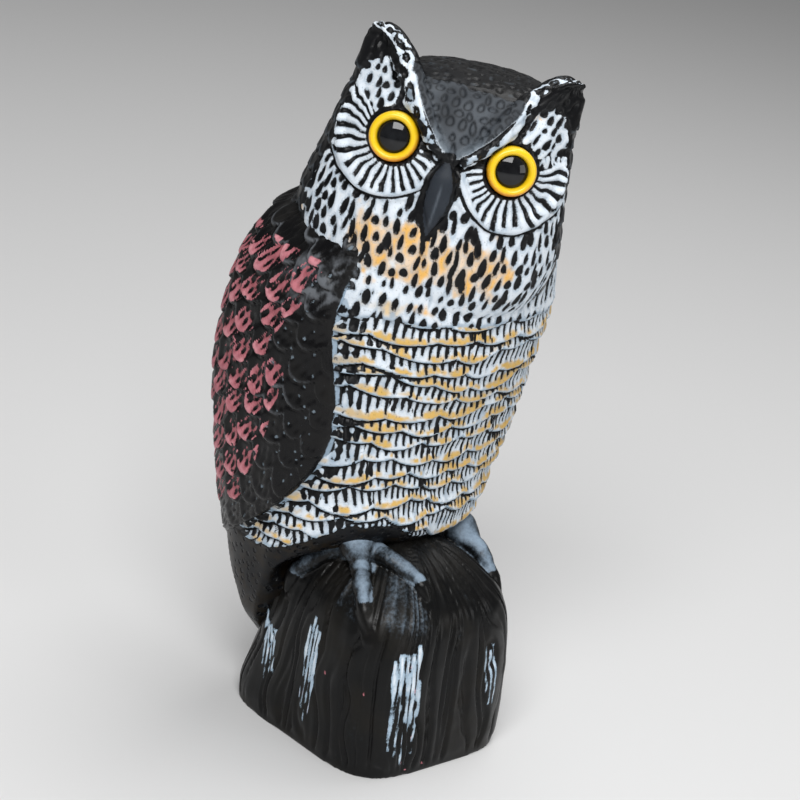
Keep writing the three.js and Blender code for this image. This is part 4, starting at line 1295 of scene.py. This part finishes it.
# Materials
class Nodes:
    """Short ways to add and join the nodes of one tree."""

    def __init__(self, tree):
        self.tree = tree
        self.place = self.add("TexCoord").outputs["Object"]

    def fill(self, node, given):
        """Joins or sets a node's sockets, given by label or number."""
        for label, value in given.items():
            if isinstance(value, bpy.types.NodeSocket):
                self.tree.links.new(value, node.inputs[label])
            else:
                node.inputs[label].default_value = value

    def add(self, kind, given=None, **settings):
        node = self.tree.nodes.new(("" if kind.startswith("NodeGroup") else "ShaderNode") + kind)
        for key, value in settings.items():
            setattr(node, key, value)
        self.fill(node, given or {})
        return node

    def maths(self, operation, first, second):
        return self.add("Math", {0: first, 1: second}, operation=operation).outputs[0]

    def times(self, first, second):
        return self.maths("MULTIPLY", first, second)

    def minus(self, first, second):
        return self.maths("SUBTRACT", first, second)

    def weigh(self, first, weight, second, other_weight):
        return self.maths("ADD", self.times(first, weight), self.times(second, other_weight))

    def ramp(self, value, low, high, to_low=0.0, to_high=1.0):
        given = {"Value": value, "From Min": low, "From Max": high, "To Min": to_low, "To Max": to_high}
        return self.add("MapRange", given, interpolation_type="SMOOTHSTEP").outputs["Result"]

    def blend(self, amount, first, second, way="MIX"):
        given = {"Factor": amount, 6: first, 7: second}
        return self.add("Mix", given, data_type="RGBA", blend_type=way).outputs[2]

    def noise(self, scale, detail=3.0, roughness=0.55):
        given = {"Vector": self.place, "Scale": scale, "Detail": detail, "Roughness": roughness}
        return self.add("TexNoise", given).outputs["Fac"]

    def bump(self, height, strength, distance, **under):
        given = {"Height": height, "Strength": strength, "Distance": distance, **under}
        return self.add("Bump", given).outputs["Normal"]

    def field(self, name, output="Fac"):
        return self.add("Attribute", attribute_name=name).outputs[output]

    def group(self, which, **given):
        return self.add("Group", given, node_tree=GROUPS[which]).outputs


def colour_or_number(is_colour):
    return "NodeSocketColor" if is_colour else "NodeSocketFloat"


def new_group(name, inputs, outputs):
    """A shader group: short ways to fill its tree, what it is given, and the node of its results."""
    tree = bpy.data.node_groups.new(name, "ShaderNodeTree")
    for label, value in inputs.items():
        kind = colour_or_number(isinstance(value, tuple))
        tree.interface.new_socket(name=label, in_out="INPUT", socket_type=kind).default_value = value
    for label in outputs:
        kind = colour_or_number(label == "Colour")
        tree.interface.new_socket(name=label, in_out="OUTPUT", socket_type=kind)
    n = Nodes(tree)
    return n, n.add("NodeGroupInput").outputs, n.add("NodeGroupOutput")


def build_moulded_plastic():
    """Fine grain, soft blotches and rubbed patches of blow-moulded plastic."""
    n, given, result = new_group("moulded_plastic", {
        "Colour": (0.01, 0.01, 0.01, 1), "Rubbed": (0.03, 0.03, 0.03, 1), "Grain": 900.0, "Blotch": 38.0},
        ["Colour", "Gloss", "Height"])
    grain = n.noise(given["Grain"], 2.0)
    blotch = n.noise(given["Blotch"], 4.0)
    rubbed = n.ramp(blotch, 0.42, 0.72)
    n.fill(result, {"Colour": n.blend(rubbed, given["Colour"], given["Rubbed"]),
                    "Gloss": n.weigh(rubbed, 0.5, grain, 0.5), "Height": n.weigh(grain, 0.35, blotch, 0.65)})
    return n.tree


def build_sprayed_paint():
    """Paint whose edge follows a distance kept on the surface, made ragged by fine noise."""
    n, given, result = new_group("sprayed_paint", {
        "Under": (0, 0, 0, 1), "Paint": (1, 1, 1, 1), "Edge": 0.0,
        "Ragged": 0.5, "Softness": 0.25, "Speckle": 0.3}, ["Colour", "Cover"])
    coarse = n.minus(n.noise(420.0, 3.0, 0.6), 0.5)
    fine = n.minus(n.noise(1300.0, 2.0, 0.6), 0.5)
    shaken = n.weigh(coarse, 2.2, fine, 1.4)
    moved = n.maths("ADD", given["Edge"], n.times(shaken, given["Ragged"]))
    cover = n.ramp(moved, n.times(given["Softness"], -1.0), given["Softness"])
    thin = n.ramp(n.noise(700.0, 4.0, 0.7), 0.30, 0.44, 1.0, 0.0)
    cover = n.times(cover, n.minus(1.0, n.times(thin, given["Speckle"])))
    cool = n.blend(1.0, given["Paint"], (0.74, 0.80, 0.86, 1), "MULTIPLY")
    varied = n.blend(n.ramp(n.noise(160.0, 4.0), 0.35, 0.7, 0.0, 0.35), given["Paint"], cool)
    n.fill(result, {"Colour": n.blend(cover, given["Under"], varied), "Cover": cover})
    return n.tree


def build_dry_brush():
    """Pale paint dragged over the high parts, broken up by the grain under the brush; it lays the painted
    highlights on the toes, claws and feather edges too.
    """
    n, given, result = new_group("dry_brushed_and_highlit", {
        "Under": (0, 0, 0, 1), "Brush": (0.3, 0.4, 0.5, 1), "Amount": 0.0}, ["Colour", "Cover"])
    threshold = n.maths("ADD", n.weigh(n.noise(520.0, 4.0, 0.65), 0.34, n.noise(130.0), 0.28), 0.19)
    missing = n.times(n.minus(1.0, given["Amount"]), 0.85)
    cover = n.ramp(n.minus(threshold, missing), -0.22, 0.35)
    cover = n.times(cover, n.ramp(given["Amount"], 0.02, 0.25))
    n.fill(result, {"Colour": n.blend(cover, given["Under"], given["Brush"]), "Cover": cover})
    return n.tree


def build_flank_pits():
    """Small round pits with a faint brown net of paint between them."""
    n, given, result = new_group("pitted_flank", {
        "Under": (0, 0, 0, 1), "Net": (0.014, 0.010, 0.006, 1), "Amount": 0.0, "Size": 215.0},
        ["Colour", "Height"])
    cells = n.add("TexVoronoi", {"Vector": n.place, "Scale": given["Size"]}).outputs["Distance"]
    patchy = n.ramp(n.noise(90.0), 0.42, 0.62)
    net = n.times(n.ramp(cells, 0.30, 0.48), patchy)
    n.fill(result, {"Colour": n.blend(n.times(net, given["Amount"]), given["Under"], given["Net"]),
                    "Height": n.times(n.ramp(cells, 0.20, 0.38), given["Amount"])})
    return n.tree


def build_outdoor_dust():
    """A little dust that settles on what faces up."""
    n, given, result = new_group("outdoor_dust", {
        "Under": (0, 0, 0, 1), "Dust": (0.25, 0.24, 0.22, 1), "Amount": 0.05}, ["Colour"])
    facing = n.add("SeparateXYZ", {0: n.add("NewGeometry").outputs["Normal"]})
    cloud = n.ramp(n.noise(60.0, 5.0, 0.65), 0.4, 0.75)
    cover = n.times(n.times(n.ramp(facing.outputs["Z"], 0.2, 0.95), cloud), given["Amount"])
    n.fill(result, {"Colour": n.blend(cover, given["Under"], given["Dust"])})
    return n.tree


GROUPS = {
    "plastic": build_moulded_plastic(), "paint": build_sprayed_paint(),
    "brush": build_dry_brush(), "dust": build_outdoor_dust(), "flank": build_flank_pits(),
}


def new_material(name):
    material = bpy.data.materials.new(name)
    material.use_nodes = True
    return material, Nodes(material.node_tree), material.node_tree.nodes["Principled BSDF"]


def painted_plastic(name, plastic, rubbed, brush, ragged, speckle, rough, paint_rough, dust):
    """Satin plastic with paint over it, as the whole moulding has."""
    material, n, shader = new_material(name)
    base = n.group("plastic", Colour=(*plastic, 1), Rubbed=(*rubbed, 1))
    flank = n.group("flank", Under=base["Colour"], Amount=n.field("flank"))
    # Dry-brushed paint, and the painted highlights laid the same way
    brushed = n.group("brush", Under=flank["Colour"], Brush=(*brush, 1), Amount=n.field("dry_brush_and_highlight"))
    coat = n.group("paint", Under=brushed["Colour"], Paint=n.field("paint_tint", "Color"),
                   Edge=n.field("paint_edge"), Ragged=ragged, Speckle=speckle)
    dusty = n.group("dust", Under=coat["Colour"], Amount=dust)
    shine = n.ramp(base["Gloss"], 0.2, 0.8, rough - 0.06, rough + 0.1)
    covered = n.maths("MAXIMUM", coat["Cover"], brushed["Cover"])
    flat = n.times(covered, n.minus(paint_rough, shine))
    swell = n.bump(n.weigh(base["Height"], 0.35, coat["Cover"], 0.5), 0.35, 0.0004)
    n.fill(shader, {"Base Color": dusty["Colour"], "Roughness": n.maths("ADD", shine, flat),
                    "Normal": n.bump(flank["Height"], 0.8, 0.0012, Normal=swell), "Specular IOR Level": 0.2})
    return material


def ring_material():
    """Glossy yellow with an orange edge as painted shade, each eye's own shade kept on its surface."""
    material, n, shader = new_material("ring_yellow")
    edge = n.maths("ADD", n.field("rim"), n.times(n.minus(n.noise(500.0), 0.5), 0.5))
    colour = n.blend(n.ramp(edge, 0.35, 1.0), (0.93, 0.60, 0.008, 1), (0.78, 0.27, 0.012, 1))
    speck = n.ramp(n.noise(1400.0, 3.0, 0.7), 0.60, 0.72, 0.0, 0.25)
    n.fill(shader, {"Base Color": n.blend(speck, colour, (0.62, 0.25, 0.02, 1)),
                    "Roughness": n.ramp(n.noise(220.0, 4.0), 0.3, 0.7, 0.30, 0.42),
                    "Normal": n.bump(n.noise(600.0), 0.2, 0.0003),
                    "Coat Weight": 0.25, "Coat Roughness": 0.2})
    return material


def pupil_material():
    """Polished black with the faintest haze and scuffs."""
    material, n, shader = new_material("pupil_black")
    haze = n.ramp(n.noise(90.0), 0.4, 0.7)
    n.fill(shader, {"Base Color": n.blend(haze, (0.003, 0.003, 0.004, 1), (0.010, 0.011, 0.013, 1)),
                    "Roughness": n.ramp(n.noise(350.0, 4.0), 0.35, 0.75, 0.03, 0.12),
                    "Specular IOR Level": 0.2, "Coat Weight": 0.4, "Coat Roughness": 0.02})
    return material


def floor_material():
    material, n, shader = new_material("pale_floor")
    n.fill(shader, {"Base Color": (0.74, 0.74, 0.74, 1), "Roughness": 0.7})
    return material


# Each skin of the body with its material: the plastic, its rubbed tone, the colour of the dry brush and of
# the painted highlights, how ragged and how speckled the paint is, how rough the plastic and the paint are,
# and the dust
BODY_PIECES = [
    (make_head(), painted_plastic("painted_head", (0.004, 0.0042, 0.005), (0.008, 0.0085, 0.010),
                                  (0.10, 0.12, 0.14), 0.42, 0.35, 0.38, 0.62, 0.04)),
    (make_breast(), painted_plastic("painted_breast", (0.0036, 0.004, 0.005), (0.007, 0.0075, 0.009),
                                    (0.10, 0.12, 0.14), 0.5, 0.4, 0.40, 0.62, 0.03)),
    (make_mantle(), painted_plastic("painted_mantle", (0.004, 0.004, 0.0046), (0.0075, 0.007, 0.0068),
                                    (0.13, 0.14, 0.155), 0.4, 0.25, 0.32, 0.50, 0.05)),
    (make_stump(), painted_plastic("painted_stump", (0.004, 0.0041, 0.0043), (0.0085, 0.0075, 0.006),
                                   (0.26, 0.34, 0.43), 0.45, 0.3, 0.36, 0.58, 0.04)),
]
for piece, material in BODY_PIECES:
    piece.data.materials.clear()
    piece.data.materials.append(material)
    shade_smooth(piece)
    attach(piece, "root")
    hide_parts("owl_body")
ring_yellow, pupil_black = ring_material(), pupil_material()
for piece in make_eyes():
    piece.data.materials.append(ring_yellow if "ring" in piece.name else pupil_black)

# Floor, lights and camera
bm = bmesh.new()
bmesh.ops.create_grid(bm, x_segments=1, y_segments=1, size=3.0)
floor = new_piece("floor", bm)
floor.data.materials.append(floor_material())

world = bpy.data.worlds.new("studio")
bpy.context.scene.world = world
world.use_nodes = True
sky = world.node_tree.nodes["Background"].inputs
sky["Color"].default_value = (1, 1, 1, 1)
sky["Strength"].default_value = 0.16
bpy.context.scene.view_settings.view_transform = "Standard"
LIT_PLACE = Vector((0, 0, 0.2))


def soft_light(name, place, size, power):
    data = bpy.data.lights.new(name, "AREA")
    data.shape = "RECTANGLE"
    data.size, data.size_y = size
    data.energy = power
    light = bpy.data.objects.new(name, data)
    bpy.context.scene.collection.objects.link(light)
    light.location = place
    light.rotation_euler = (LIT_PLACE - Vector(place)).to_track_quat("-Z", "Y").to_euler()


soft_light("key", (-1.25, -1.05, 1.95), (1.5, 1.0), 50)
soft_light("top", (0.7, 0.1, 2.3), (1.6, 1.6), 25)
soft_light("fill", (0.5, -2.0, 0.7), (0.9, 0.9), 7)

# Camera: as the photograph was taken, from the owl's front right, a little above and rolled
TARGET = Vector((0, 0, 0.204))
DISTANCE = 1.274
PHOTO_WIDTH = 800
FOCAL_PIXELS = 2291.0
PIXEL = DISTANCE / FOCAL_PIXELS
SENSOR_WIDTH = 36
azimuth, elevation, roll = math.radians(-45), math.radians(20), math.radians(9.5)
back = Vector((math.sin(azimuth) * math.cos(elevation), -math.cos(azimuth) * math.cos(elevation),
               math.sin(elevation)))
across = Vector((math.cos(azimuth), math.sin(azimuth), 0))
upward = back.cross(across)
turned_across = across * math.cos(roll) + upward * math.sin(roll)
turned_up = upward * math.cos(roll) - across * math.sin(roll)
lens = bpy.data.cameras.new("camera")
lens.sensor_fit = "HORIZONTAL"
lens.sensor_width = SENSOR_WIDTH
lens.lens = FOCAL_PIXELS / PHOTO_WIDTH * SENSOR_WIDTH
camera = bpy.data.objects.new("camera", lens)
bpy.context.scene.collection.objects.link(camera)
turning = Matrix((turned_across, turned_up, back)).transposed().to_4x4()
aim = TARGET - across * (19.0 * PIXEL) - upward * (11.4 * PIXEL)
camera.matrix_world = Matrix.Translation(aim + back * DISTANCE) @ turning
bpy.context.scene.camera = camera

bpy.context.view_layer.update()
